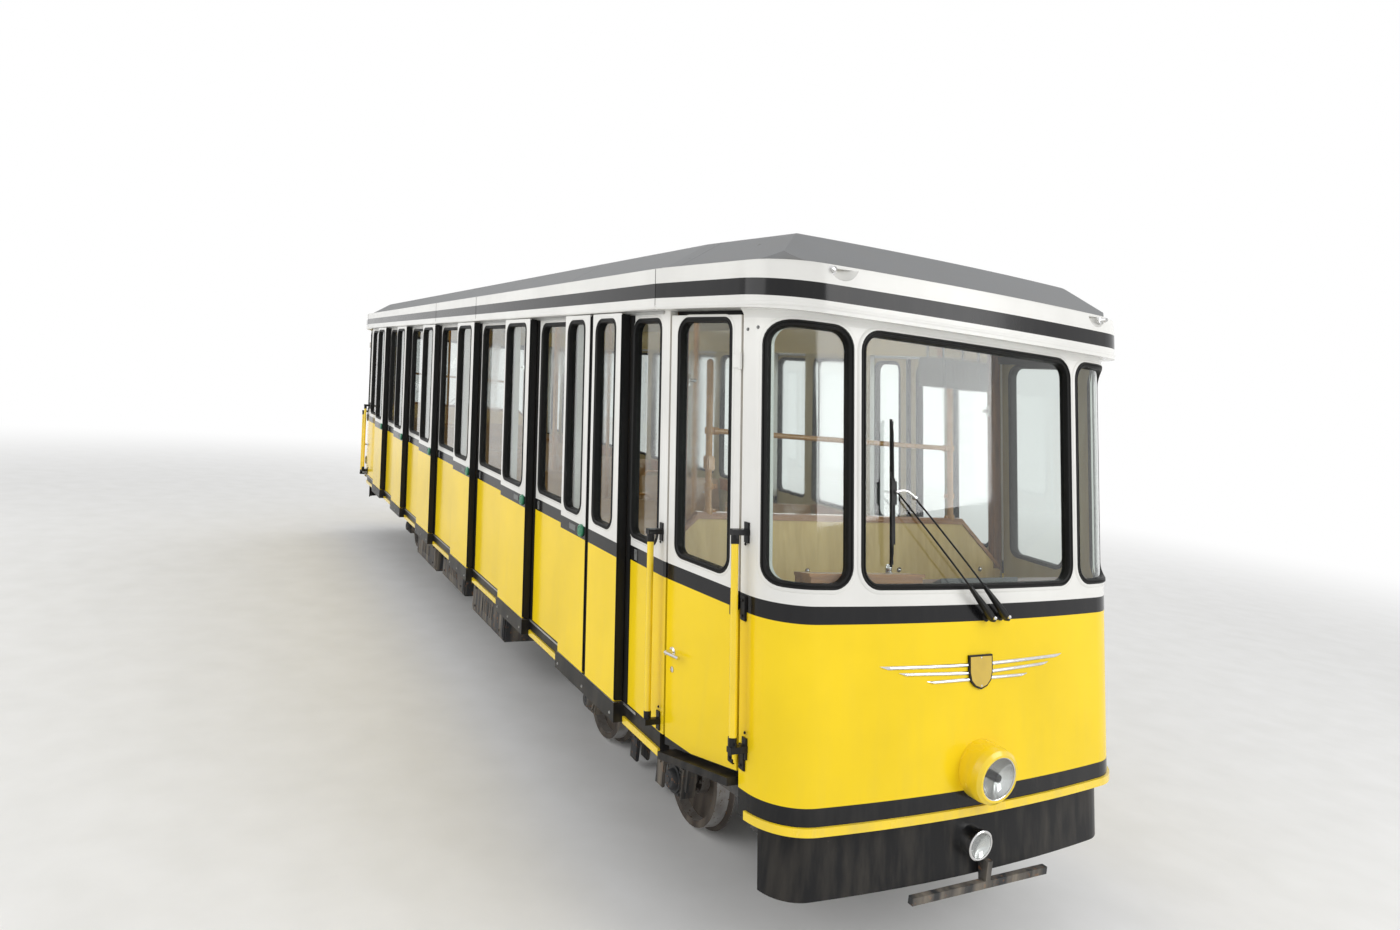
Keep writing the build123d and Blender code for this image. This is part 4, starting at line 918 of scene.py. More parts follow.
# Door guides: thin rails of ribbed aluminium under the cornice and along the side beam, which the
# sliding leaves are held to at their head and foot.
shapes = []
for side in (1, -1):
    shapes.append(block(FAR_KINK_X - 0.15, FIRST_X + 0.18, side * 1.149, side * 1.1565, 2.862, 2.877, 0.001))
    shapes.append(block(FAR_KINK_X - 0.05, FIRST_X + 0.3, side * 1.1515, side * 1.156, 0.85, 0.862, 0.001))
piece("door_rails", shapes, aluminium)

# Cab doors: steel doors with a foot that is level on the slope, hung at the edge nearer the car's end
# on three knuckles, the lower two with bolted black plates. Each has its own pane and a chromed lever
# over a keyhole.
CAB_DOOR_WIDTH = 0.575
HINGE_LEVELS = (1.0, 1.61)
LEVER_X = HINGE_X - CAB_DOOR_WIDTH + 0.062
LEVER_Z = 1.27
KEYHOLE_Z = 1.19
ROSE = [(0, 0), (0.024, 0), (0.024, 0.004), (0.014, 0.008), (0.011, 0.04), (0, 0.04)]
KEYHOLE = [(0, 0), (0.014, 0), (0.014, 0.004), (0.005, 0.005), (0.004, 0.002), (0, 0.002)]


def wall_at(station):
    """Half the car's width at a station of the nose end, drawn in past the kink."""
    return HALF_WIDTH - max(0.0, station - KINK_X) * TAPER


for name, end in ENDS:
    for side, hand in HANDS:
        body = "cab_door_" + name + "_" + hand
        a, b = sorted((facing(HINGE_X - CAB_DOOR_WIDTH + 0.08, end), facing(HINGE_X - 0.08, end)))
        points = [Vector((x, side * wall_at(facing(x - lean(z), end)), z)) for x, z in side_outline(a, b)]
        normal = Vector((end * math.sin(math.atan(TAPER)), side * math.cos(math.atan(TAPER)), 0))
        window = (points, [normal] * len(points))
        piece(body + "_rubber", [around(*window, rubber_section(0.0125, 0.04))], rubber, body)
        piece(body + "_window_edge", [bead(*window, 0.0125)], body_paint, body)
        piece(body + "_pane", [pane(*window, (0.017, 0.023))], glass, body)
        door_plates, fixed_plates = [], []
        for level in HINGE_LEVELS:
            for offset, plates in ((-0.042, door_plates), (0.034, fixed_plates)):
                x, wall = facing(HINGE_X + offset, end), wall_at(HINGE_X + offset)
                plates.append(upright(x - 0.021, x + 0.021, side, wall - 0.004, wall + 0.009, level - 0.052,
                                      level + 0.052, 0.003))
                for z in (level - 0.032, level + 0.032):
                    plates.append(bolt((x + lean(z), side * (wall + 0.009), z), (0, side, 0), 0.009, 0.005))
        piece(body + "_hinge_plates", door_plates, black_paint, body)
        piece(body + "_hinge_seats", fixed_plates, black_paint)
        station, wall = facing(LEVER_X, end), wall_at(LEVER_X)
        seat = Vector((station + lean(LEVER_Z), side * (wall - 0.001), LEVER_Z))
        root = seat + normal * 0.037
        reach = Vector((end * 0.105, side * -0.105 * TAPER, 0.004))
        lever = tube([root + reach * share for share in (-0.08, 0.3, 0.7, 0.97, 1.0)], 0.0085, 14)
        keyhole = turned(KEYHOLE, (station + lean(KEYHOLE_Z), side * wall, KEYHOLE_Z), normal, 24)
        piece(body + "_lever", [turned(ROSE, seat, normal, 28), lever, keyhole], chrome, body)

# Cornice: sheet-steel box in lengths with sealed butt joints, white with a gloss black stripe. It hides
# the door rails, has a rolled lower edge, and turns into the ends over a white cove. Two short chromed
# stubs stand on each end, and rubber-faced stops close the gap over the cab doors.
Z_CORNICE = 2.878
Z_TOP = 3.075
CORNICE_OUT = 0.07
STRIPE_Z = (2.93, 3.002)
JOINTS = (KINK_X, 1.265, -0.26, FAR_KINK_X)
ROLL = 0.0135              # radius of the rolled edge
ROLL_IN = 0.0105           # its middle, in and up from the cornice's lower corner
COVE_Z = Z_CORNICE - 0.036
STUB = [(0, -0.01), (0.021, -0.01), (0.021, 0.004), (0.013, 0.007), (0.0115, 0.028), (0.0085, 0.033),
        (0.0085, 0.026), (0, 0.026)]


def cornice_colour(tree):
    """White with the black stripe all round, and cream inside."""
    z = where_is(tree)["Z"]
    foot, head = STRIPE_Z
    black = times(tree, spread(tree, z, foot - 0.0005, foot + 0.0005),
                  spread(tree, z, head - 0.0005, head + 0.0005, 1.0, 0.0))
    outer = shader_node(tree, "Group", node_tree=livery)
    return mixed(tree, outer.outputs["Outside"], (0.62, 0.5, 0.25, 1), mixed(tree, black, WHITE, BLACK))


cornice_paint = weathered("cornice paint", cornice_colour, (0.3, 0.28, 0.25), 1.8, 0.0, 0.08, 0.16, 0.012,
                          coat=0.06, specular=0.24)
dress(cornice_paint, "cornice_left", "cornice_right", "cornice_nose", "cornice_tail")


def along_end(runs, section, end):
    """Closed section of (level, out of the end) carried round an end between two runs."""
    points = [skin(run, z, end, out)[0] for run in runs for z, out in section]
    return points, walls(len(runs), len(section))


def steps_between(low, high, count):
    """Even steps from low to high."""
    return [low + (high - low) * k / count for k in range(count + 1)]


FULL_RUN = OUTLINE[-1][RUN]
HINGE_RUN = reading(HINGE_X + 0.012, STATION)
DOOR_RUN = reading(HINGE_X - 0.59, STATION)
roll_section = [(Z_CORNICE + ROLL_IN + math.sin(a) * ROLL, CORNICE_OUT - ROLL_IN + math.cos(a) * ROLL)
                for a in (2 * math.pi * k / 14 for k in range(14))]
cove_section = [(Z_CORNICE + 0.004, 0.0435), (Z_CORNICE + 0.004, -0.012), (COVE_Z, -0.012), (COVE_Z, 0.0012)]
cove_section += [(COVE_Z + 0.04 * math.sin(a), 0.0012 + 0.0423 * (1 - math.cos(a)))
                 for a in (math.pi / 2 * k / 6 for k in range(1, 7))]
stops = []
for name, end in ENDS:
    for side in (1, -1):
        runs = steps_between(side * DOOR_RUN, side * HINGE_RUN, 8)
        stops.append(along_end(runs, ((2.842, -0.046), (2.842, -0.056), (2.888, -0.056), (2.888, -0.046)),
                               end))
    roll = along_end(steps_between(-FULL_RUN, FULL_RUN, 150), roll_section, end)
    cove = along_end(steps_between(-HINGE_RUN, HINGE_RUN, 120), cove_section, end)
    piece("cornice_cove_" + name, [roll, cove], cornice_paint)
piece("cab_door_stops", stops, rubber)
rolls, joints, stubs = [], [], []
for side in (1, -1):
    y, z = side * (HALF_WIDTH + CORNICE_OUT - ROLL_IN), Z_CORNICE + ROLL_IN
    rolls.append(tube([(station + lean(Z_CORNICE), y, z) for station in (FAR_KINK_X, KINK_X)], ROLL, 14))
    for station in JOINTS:
        face = HALF_WIDTH + CORNICE_OUT
        joints.append(upright(station - 0.0022, station + 0.0022, side, face - 0.004, face + 0.0012,
                              Z_CORNICE + 0.008, Z_TOP - 0.001, 0.0008))
    for end in (1, -1):
        root, normal = skin(side * run_at(0.845), 3.05, end, CORNICE_OUT - 0.012)
        stubs.append(turned(STUB, root, normal, 24))
piece("cornice_edges", rolls, cornice_paint)
piece("cornice_joints", joints, rubber)
piece("cornice_stubs", stubs, chrome)

# Roof: sheet steel shell with rounded edges in weathered grey paint, its sheets welted together
# across the car, held along its foot by domed screws over a narrow rain gutter.
ROOF_FOOT = 3.075
ROOF_IN = 0.05
ROOF_SLANT = 0.68          # sideways per upwards of the roof's lowest strip
SHEET_LENGTH = 0.762
SCREW_RISE = 0.03
SCREW = [(0.0085, -0.004), (0.0085, 0.0), (0.0065, 0.0032), (0, 0.0045)]


def roof_seams(tree):
    """Welts across the car at every sheet, as a height."""
    return spread(tree, reckon(tree, "PINGPONG", where_is(tree)["X"], SHEET_LENGTH),
                  0.0, 0.012, 1.0, 0.0, True)


def roof_colour(tree):
    """Grey outside, cream on the ceiling."""
    faces_up = reckon(tree, "GREATER_THAN", where_is(tree, "Normal")["Z"], -0.2)
    return mixed(tree, faces_up, (0.66, 0.6, 0.45, 1), (0.19, 0.195, 0.2, 1))


roof_paint = weathered("roof paint", roof_colour, (0.13, 0.12, 0.11), 2.6, 0.12, 0.25, 0.58, 0.12)
relief(roof_paint, roof_seams, 0.8, 0.006)
dress(roof_paint, "roof")
screws, gutters = [], []
foot = CORNICE_OUT - ROOF_IN
low, high = ROOF_FOOT - 0.004, ROOF_FOOT + 0.009
for side in (1, -1):
    y = HALF_WIDTH + foot
    gutters.append(upright(FAR_KINK_X, KINK_X, side, y + 0.004, y + 0.016, low, high, 0.002))
    x = FAR_KINK_X + 0.1
    while x < KINK_X:
        spot = (x + lean(ROOF_FOOT), side * (y - SCREW_RISE / ROOF_SLANT), ROOF_FOOT + SCREW_RISE)
        screws.append(turned(SCREW, spot, (0, side * ROOF_SLANT, 1), 10))
        x += 0.245
for end in (1, -1):
    section = ((low, foot + 0.004), (high, foot + 0.004), (high, foot + 0.016), (low, foot + 0.016))
    gutters.append(along_end(steps_between(-FULL_RUN, FULL_RUN, 110), section, end))
piece("roof_gutter", gutters, cornice_paint)
piece("roof_screws", screws, roof_paint)

# Headlamps: a spun reflector in each round nacelle behind a shallow clear lens and chromed bezel,
# with a dark cap over the bulb, and a smaller lamp of the same kind low on each apron.
NACELLE_Z = 0.95
NACELLE_OUT = 0.115
LOW_LAMP_Z = 0.618
BEZEL = [(0.0945, -0.012), (0.108, -0.012), (0.1082, -0.001), (0.104, -0.0003), (0.099, -0.0012),
         (0.0945, -0.004), (0.0945, -0.012)]
LENS = [(0, -0.0005), (0.03, -0.0009), (0.06, -0.002), (0.0935, -0.0048), (0.0935, -0.0062), (0.06, -0.0034),
        (0.03, -0.0023), (0, -0.0019)]
LOW_BEZEL = [(0.058, -0.004), (0.0675, -0.02), (0.0705, -0.02), (0.0705, 0.001), (0.066, 0.004),
             (0.0605, 0.0025), (0.058, -0.004)]
LOW_LENS = [(0, 0.0075), (0.03, 0.006), (0.0605, 0.0015), (0.0605, 0.0005), (0.03, 0.0048), (0, 0.0062)]
BULB_CAP = [(0.017, -0.0075), (0.017, -0.0052), (0.013, -0.0032), (0, -0.0028)]


def reflector_height(tree):
    """Hollow of the two reflectors, round their own centres."""
    place = where_is(tree)
    upper, lower = (reckon(tree, "SUBTRACT", place["Z"], z) for z in (NACELLE_Z, LOW_LAMP_Z))
    rise = reckon(tree, "MINIMUM", times(tree, upper, upper), times(tree, lower, lower))
    return reckon(tree, "ADD", times(tree, place["Y"], place["Y"]), rise)


reflector = weathered("reflector", (0.78, 0.78, 0.77), (0.5, 0.48, 0.44), 14.0, 0.05, 0.1, 0.1, 0.02,
                      metallic=1.0)
relief(reflector, reflector_height, 1.0, 9.0)
dress(reflector, "lamps")
lens_glass = glass.copy()
lens_glass.name = "lens glass"
lens_glass.node_tree.nodes["Principled BSDF"].inputs["Base Color"].default_value = (0.9, 0.92, 0.92, 1)
rings, lenses, caps = [], [], []
for name, end in ENDS:
    mouth = (facing(NOSE_X, end) + lean(NACELLE_Z) + end * NACELLE_OUT, 0, NACELLE_Z)
    low_mouth = (skin(0.0, LOW_LAMP_Z, end, -0.06)[0].x + end * 0.06, 0, LOW_LAMP_Z)
    for made, profile, place, steps in ((rings, BEZEL, mouth, 56), (lenses, LENS, mouth, 48),
                                        (caps, BULB_CAP, mouth, 24), (rings, LOW_BEZEL, low_mouth, 44),
                                        (lenses, LOW_LENS, low_mouth, 36)):
        made.append(turned(profile, place, (end, 0, 0), steps))
piece("lamp_rings", rings, chrome)
piece("lamp_lenses", lenses, lens_glass)
piece("bulb_caps", caps, black_paint)

# Nose trim: three polished bars each side of a small blank shield, pressed to the curve of the
# body, with slanting pointed tips. The shield is enamelled, in a dark raised rim on two screws.
BARS = (
    # low and high edge at the root, lower and upper edge at the tip: (y, z)
    (1.397, 1.413, (0.517, 1.404), (0.563, 1.4197)),
    (1.362, 1.378, (0.418, 1.374), (0.464, 1.389)),
    (1.3345, 1.350, (0.27, 1.334), (0.312, 1.347)),
)
BAR_ROOT = 0.062
BAR_SECTION = ((0.0, -0.002), (0.0, 0.003), (0.22, 0.0065), (0.5, 0.0078), (0.78, 0.0065), (1.0, 0.003),
               (1.0, -0.002))
SHIELD = ((-0.0715, 1.448), (0.0715, 1.448), (0.0715, 1.372), (0.062, 1.334), (0.037, 1.309), (0.0, 1.296),
          (-0.037, 1.309), (-0.062, 1.334), (-0.0715, 1.372))
SHIELD_MIDDLE = 1.372
CORNER_STUDS = ((5.368, 2.79), (5.432, 2.8))
polished = weathered("polished trim", (0.7, 0.7, 0.69), (0.42, 0.4, 0.37), 30.0, 0.08, 0.1, 0.16, 0.04,
                     metallic=1.0)
enamel = weathered("enamel", (0.62, 0.42, 0.04), (0.2, 0.14, 0.05), 14.0, 0.04, 0.08, 0.16, 0.02, coat=0.6)


def between(one, two, share):
    """A point part of the way from one to the other."""
    return tuple(a + (b - a) * share for a, b in zip(one, two))


def trim_bar(end, side, low, high, tip_low, tip_high):
    """One bar from the shield to its slanting tip, raised in the middle."""
    points = []
    shares = steps_between(0.0, 1.0, 20)
    for s in shares:
        lower, upper = between((BAR_ROOT, low), tip_low, s), between((BAR_ROOT, high), tip_high, s)
        for t, out in BAR_SECTION:
            y, z = between(lower, upper, t)
            thin = out * 0.6 if s >= 0.97 and out > 0 else out
            points.append(skin(side * run_at(y), z, end, thin)[0])
    return points, walls(len(shares), len(BAR_SECTION))


def shield_plate(end, scale, low, high):
    """Plate with the shield's outline, standing between two distances from the wall."""
    points = [skin(run_at(y * scale), SHIELD_MIDDLE + (z - SHIELD_MIDDLE) * scale, end, out)[0]
              for out in (low, high) for y, z in SHIELD]
    return points, walls(2, len(SHIELD))


bars, rims, fields, screws, studs = [], [], [], [], []
for name, end in ENDS:
    bars += [trim_bar(end, side, *bar) for bar in BARS for side in (1, -1)]
    rims.append(shield_plate(end, 1.0, -0.002, 0.011))
    fields.append(shield_plate(end, 0.9, 0.0, 0.0125))
    for z in (1.436, 1.312):
        screws.append(turned([(0.0045, 0), (0.004, 0.0018), (0, 0.0026)], *skin(0.0, z, end, 0.012), 14))
    for side in (1, -1):
        for station, z in CORNER_STUDS:
            profile = [(0.0075, -0.001), (0.0075, 0.0025), (0.0055, 0.0055), (0, 0.0065)]
            studs.append(turned(profile, *skin(side * reading(station, STATION), z, end), 14))
piece("nose_bars", bars, polished, sharp=25)
piece("shield_rims", rims, black_paint)
piece("shield_fields", fields, enamel)
piece("shield_screws", screws, polished)
piece("corner_studs", studs, plate_grey)

# Wipers: a pair of thin steel rods on each end that keep the blade upright as it swings. Each rod
# leaves a tapered cover with its pivot nut; a chromed link joins their tips, and the blade is a
# pressed carrier with claws over a rubber lip.
WIPER_PIVOTS = ((0.042, 1.612), (0.133, 1.613))
WIPER_TIPS = ((-0.503, 2.153), (-0.407, 2.131))
BLADE_Y = -0.512
BLADE = (1.835, 2.464)
COVER_LENGTH = 0.2
COVER_SECTION = ((-1, 0.0), (-1, 0.7), (-0.55, 1.0), (0.55, 1.0), (1, 0.7), (1, 0.0))
COVER_STEPS = (
    # along the rod, half width, height
    (-0.022, 0.007, 0.02), (-0.012, 0.0135, 0.026), (0.03, 0.0155, 0.027), (0.1, 0.012, 0.024),
    (0.194, 0.0075, 0.018), (0.2, 0.006, 0.014),
)
PIVOT = [(0, -0.012), (0.021, -0.012), (0.021, 0.004), (0.017, 0.007), (0.0125, 0.008), (0.0125, 0.03),
         (0, 0.03)]
PIVOT_NUT = [(0.0095, 0.05), (0.0095, 0.058), (0.006, 0.062), (0, 0.063)]
TIP_NUT = [(0, 0.03), (0.0085, 0.03), (0.0085, 0.047), (0.006, 0.051), (0, 0.052)]
LIP = ((-0.0052, 0.015), (0.0052, 0.015), (0.0045, 0.0105), (0.0012, 0.009), (0.0012, 0.0035),
       (-0.0012, 0.0035), (-0.0012, 0.009), (-0.0045, 0.0105))


def off_end(end, y, z, out):
    """Point off an end, given in the nose's own left and right."""
    return skin(run_at(end * y), z, end, out)[0]


def wiper_cover(end, pivot, tip):
    """Tapered box section over the foot of a rod."""
    points = []
    ahead = Vector((tip[0] - pivot[0], tip[1] - pivot[1])).normalized()
    aside = Vector((-ahead.y, ahead.x))
    for s, half, height in COVER_STEPS:
        base = 0.026 + 0.012 * s / COVER_LENGTH
        for a, b in COVER_SECTION:
            spot = Vector(pivot) + ahead * s + aside * (a * half)
            points.append(off_end(end, spot.x, spot.y, base + b * height))
    return points, walls(len(COVER_STEPS), len(COVER_SECTION))


def clip(end, z, half_y, half_z, low, high):
    """Block on the blade's line, between two distances from the glass."""
    corners = ((-half_y, -half_z), (half_y, -half_z), (half_y, half_z), (-half_y, half_z))
    return [off_end(end, BLADE_Y + a, z + b, out) for out in (low, high) for a, b in corners], walls(2, 4)


arms, links, lips = [], [], []
for name, end in ENDS:
    for pivot, tip in zip(WIPER_PIVOTS, WIPER_TIPS):
        rod = [off_end(end, *between(pivot, tip, s), 0.041 + 0.006 * math.sin(math.pi * s))
               for s in steps_between(0.15, 1.0, 12)]
        foot = skin(run_at(end * pivot[0]), pivot[1], end)
        arms += [wiper_cover(end, pivot, tip), tube(rod, 0.0042, 8), turned(PIVOT, *foot, 22)]
        links.append(turned(PIVOT_NUT, *foot, 6))
        links.append(turned(TIP_NUT, *skin(run_at(end * tip[0]), tip[1], end), 14))
    bridge = []
    for s in steps_between(0.0, 1.0, 8):
        y, z = between(*WIPER_TIPS, s)
        bridge.append(off_end(end, y, z + 0.016 * math.sin(math.pi * s), 0.044))
    links.append(tube(bridge, 0.0048, 8))
    arms += [clip(end, 2.148, 0.013, 0.05, 0.02, 0.036), clip(end, 2.07, 0.009, 0.14, 0.017, 0.03)]
    low, high = BLADE
    for s0, s1, out, half in ((0.08, 0.92, 0.024, 0.0042), (0.02, 0.36, 0.0185, 0.0048),
                              (0.64, 0.98, 0.0185, 0.0048)):
        spots = steps_between(low + (high - low) * s0, low + (high - low) * s1, 10)
        bow = [off_end(end, BLADE_Y, z, out + 0.004 * math.sin(math.pi * k / 10))
               for k, z in enumerate(spots)]
        arms.append(tube(bow, half, 6))
    arms += [clip(end, low + (high - low) * s, 0.006, 0.009, 0.009, 0.021)
             for s in (0.03, 0.2, 0.34, 0.66, 0.8, 0.97)]
    points = [off_end(end, BLADE_Y + a, z, out) for z in steps_between(low, high, 14) for a, out in LIP]
    lips.append((points, walls(15, len(LIP))))
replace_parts(piece("wiper_arms", arms, black_paint), "wipers")
piece("wiper_links", links, chrome)
piece("wiper_lips", lips, rubber)

# Handrails: yellow steel tubes beside each cab door, capped at both ends and held in black forged
# arms by a clamp with two side bolts. The arms' plates are screwed to the wall.
RAIL_OUT = 0.062
RAIL_FOOT = 0.936
RAIL_LENGTH = 0.86
RAIL_STATIONS = (KINK_X - 0.016, HINGE_X + 0.052)
CLAMP = [(0.0161, -0.008), (0.0174, -0.008), (0.0178, -0.006), (0.0178, 0.034), (0.0174, 0.036),
         (0.0161, 0.036)]
RAIL_CAP = [(0, -0.006), (0.011, -0.006), (0.0158, -0.001), (0.0158, 0.002), (0, 0.002)]
clamps, caps = [], []
for name, end in ENDS:
    for station in RAIL_STATIONS:
        x, wall = facing(station, end), wall_at(station)
        foot = RAIL_FOOT + (station - KINK_X) * 0.18 * end
        for side in (1, -1):
            for level, up in ((foot, 1), (foot + RAIL_LENGTH, -1)):
                axis = Vector((-0.18 * up, 0, up)).normalized()
                centre = Vector((x + lean(level), side * (wall + RAIL_OUT), level))
                clamps.append(turned(CLAMP, centre, axis, 26))
                caps.append(turned(RAIL_CAP, centre, axis, 22))
                for dz in (-0.022, 0.022):
                    spot = centre + axis * (0.014 + dz * 0.4)
                    screw = (spot.x + end * 0.004, side * (wall + 0.0078), spot.z + dz * 1.4)
                    clamps.append(bolt(screw, (0, side, 0), 0.0075, 0.0045))
                for way in (1, -1):
                    spot = centre + Vector((way * 0.0174, 0, up * 0.014))
                    clamps.append(bolt(spot, (way, 0, 0), 0.0065, 0.005))
piece("handrail_clamps", clamps, black_paint)
piece("handrail_caps", caps, yellow_paint)

# Wood and laminate inside: yellow-brown laminate with a faint upright grain on the low walls,
# varnished plywood seats, orange-brown oiled wood for the trim, and dark brown laminate desks.
grain_group, gi, go = new_group(
    "Wood grain",
    [("Light", (0.6, 0.5, 0.3, 1)), ("Dark", (0.4, 0.3, 0.15, 1)), ("Upright", 1.0), ("Fineness", 16.0)],
    [("Colour", (0.5, 0.4, 0.2, 1))],
)
place = where_is(grain_group)
across_share = reckon(grain_group, "SUBTRACT", 1.0, gi.outputs["Upright"])
joined = grain_group.nodes.new("ShaderNodeCombineXYZ")
grain_group.links.new(place["X"], joined.inputs["X"])
for axis, share in (("Y", across_share), ("Z", gi.outputs["Upright"])):
    shrink = reckon(grain_group, "SUBTRACT", 1.0, times(grain_group, share, 0.94))
    grain_group.links.new(times(grain_group, place[axis], shrink), joined.inputs[axis])
fibres = shader_node(grain_group, "TexNoise", Detail=6.0, Distortion=0.6)
pores = shader_node(grain_group, "TexNoise", Detail=2.0)
for made, scale in ((fibres, gi.outputs["Fineness"]),
                    (pores, times(grain_group, gi.outputs["Fineness"], 9.0))):
    grain_group.links.new(joined.outputs[0], made.inputs["Vector"])
    grain_group.links.new(scale, made.inputs["Scale"])
grain = reckon(grain_group, "MAXIMUM", spread(grain_group, fibres.outputs["Fac"], 0.36, 0.64),
               spread(grain_group, pores.outputs["Fac"], 0.56, 0.7, 0.0, 0.35))
grain_group.links.new(mixed(grain_group, grain, gi.outputs["Light"], gi.outputs["Dark"]), go.inputs["Colour"])


def wooden(light, dark, upright_grain, fineness):
    """Colour source for a finish: grain between two tones."""
    def colour(tree):
        group = shader_node(tree, "Group", node_tree=grain_group)
        for socket, value in (("Light", (*light, 1)), ("Dark", (*dark, 1)), ("Upright", upright_grain),
                              ("Fineness", fineness)):
            group.inputs[socket].default_value = value
        return group.outputs["Colour"]
    return colour


cabin_laminate = weathered("cabin laminate", wooden((0.93, 0.66, 0.25), (0.82, 0.55, 0.19), 1.0, 22.0),
                           (0.3, 0.22, 0.1), 3.0, 0.05, 0.1, 0.33, 0.03, coat=0.15)
trim_wood = weathered("trim wood", wooden((0.5, 0.22, 0.06), (0.33, 0.13, 0.035), 0.0, 30.0),
                      (0.2, 0.09, 0.03), 4.0, 0.12, 0.1, 0.3, 0.05, coat=0.3)
post_wood = weathered("post wood", wooden((0.3, 0.13, 0.045), (0.18, 0.075, 0.028), 1.0, 30.0),
                      (0.12, 0.06, 0.03), 4.0, 0.12, 0.1, 0.34, 0.05, coat=0.3)
plywood = weathered("seat plywood", wooden((0.58, 0.35, 0.14), (0.44, 0.24, 0.085), 0.0, 12.0),
                    (0.36, 0.2, 0.09), 5.0, 0.18, 0.1, 0.28, 0.04, coat=0.5)
desk_laminate = weathered("desk laminate", wooden((0.2, 0.085, 0.035), (0.13, 0.05, 0.02), 0.0, 18.0),
                          (0.25, 0.13, 0.06), 5.0, 0.15, 0.15, 0.36, 0.04, coat=0.15)
ochre = weathered("ochre paint", (0.56, 0.26, 0.045), (0.3, 0.2, 0.12), 9.0, 0.1, 0.1, 0.26, 0.03, coat=0.5)
grey_paint = weathered("grey paint", (0.13, 0.135, 0.14), (0.06, 0.06, 0.06), 7.0, 0.2, 0.3, 0.45, 0.08)
dress(cabin_laminate, "cab_bulkheads")
dress(plywood, "benches")
dress(desk_laminate, "driver_desks")
dress(ochre, "grab_poles", "cab_rails")

# Seats: pairs of moulded plywood shells with rolled edges, their backs uphill, screwed to sheet-steel
# pedestals, with an ochre handle over the aisle end of each back for people who stand.
SEAT_BACK = 0.11
SEAT_TOP = 0.43
BACK_X = 0.011             # crest of the back, from the seat's uphill end
BACK_TOP = 0.86
SEAT_SPAN = (0.3, 1.07)
HANDLE = ((0, 0.81), (0, 0.885), (0.008, 0.902), (0.026, 0.91), (0.114, 0.91), (0.132, 0.902), (0.14, 0.885),
          (0.14, 0.81))    # away from its aisle end, height
HANDLE_Y = 0.335
FERRULE = [(0.0108, 0.001), (0.018, 0.001), (0.018, 0.006), (0.0108, 0.009)]
SEAT_SCREW = [(0.0075, -0.001), (0.0065, 0.002), (0, 0.003)]
BACK_SCREW = [(0.0065, -0.001), (0.0055, 0.002), (0, 0.0028)]


def on_level(station, shape):
    """Shape given over the floor at a station, turned level with the slope."""
    base = floor_level(station)
    origin = Vector((station + lean(base), 0, base))
    along = Vector((math.cos(SLOPE), 0, math.sin(SLOPE)))
    up = Vector((-math.sin(SLOPE), 0, math.cos(SLOPE)))
    points, faces = shape
    return [origin + along * p[0] + Vector((0, p[1], 0)) + up * p[2] for p in points], faces


rolls, stands, handles, screws = [], [], [], []
for bay in bays:
    for side in (1, -1):
        y0, y1 = sorted((side * SEAT_SPAN[0], side * SEAT_SPAN[1]))
        middle = (y0 + y1) / 2
        roll = [tube([(x, y0 - 0.001, z), (x, y1 + 0.001, z)], 0.0125, 14)
                for x, z in ((0.49, 0.434), (BACK_X, BACK_TOP))]
        for y in (y0, y1):
            roll.append(tube([(0.485, y, 0.434), (0.075, y, 0.419), (BACK_X, y, BACK_TOP)], 0.0118, 10))
        seam, sides = block(0.08, 0.484, middle - 0.003, middle + 0.003, 0.42, 0.4325, 0.001)
        screw = [([Vector((x, y, z + (x - 0.08) * 0.035)) for x, y, z in seam], sides)]
        a, b = (y0 + 0.118, y1 - 0.118)
        stand = [block(0.146, 0.334, a - 0.004, b + 0.004, 0.02, 0.405, 0.008),
                 block(0.13, 0.35, a - 0.02, b + 0.02, 0.0, 0.012, 0.004),
                 block(0.12, 0.36, a - 0.01, b + 0.01, 0.385, 0.407, 0.004)]
        screw += [bolt((x, y, 0.012), (0, 0, 1), 0.009, 0.005)
                  for y in (a - 0.012, b + 0.012) for x in (0.15, 0.33)]
        for share in (0.2, 0.8):
            y = y0 + (y1 - y0) * share
            for x, z in ((0.17, 0.4225), (0.4, 0.4305)):
                screw.append(turned(SEAT_SCREW, (x, y, z), (0.03, 0, 1), 12))
            for z in (0.56, 0.74):
                screw.append(turned(BACK_SCREW, (0.0805 - (z - SEAT_TOP) * 0.137, y, z), (1, 0, 0.14), 12))
        handle = [tube([(BACK_X, side * (HANDLE_Y + away), z) for away, z in HANDLE], 0.0105, 14)]
        for away in (0, 0.14):
            foot = (BACK_X, side * (HANDLE_Y + away), BACK_TOP + 0.012)
            handle.append(turned(FERRULE, foot, (0, 0, 1), 20))
        for made, shapes in ((rolls, roll), (stands, stand), (handles, handle), (screws, screw)):
            made += [on_level(bay["far"] + SEAT_BACK, shape) for shape in shapes]
piece("seat_rolls", rolls, plywood)
piece("seat_pedestals", stands, grey_paint)
piece("seat_handles", handles, ochre)
piece("seat_screws", screws, aluminium)

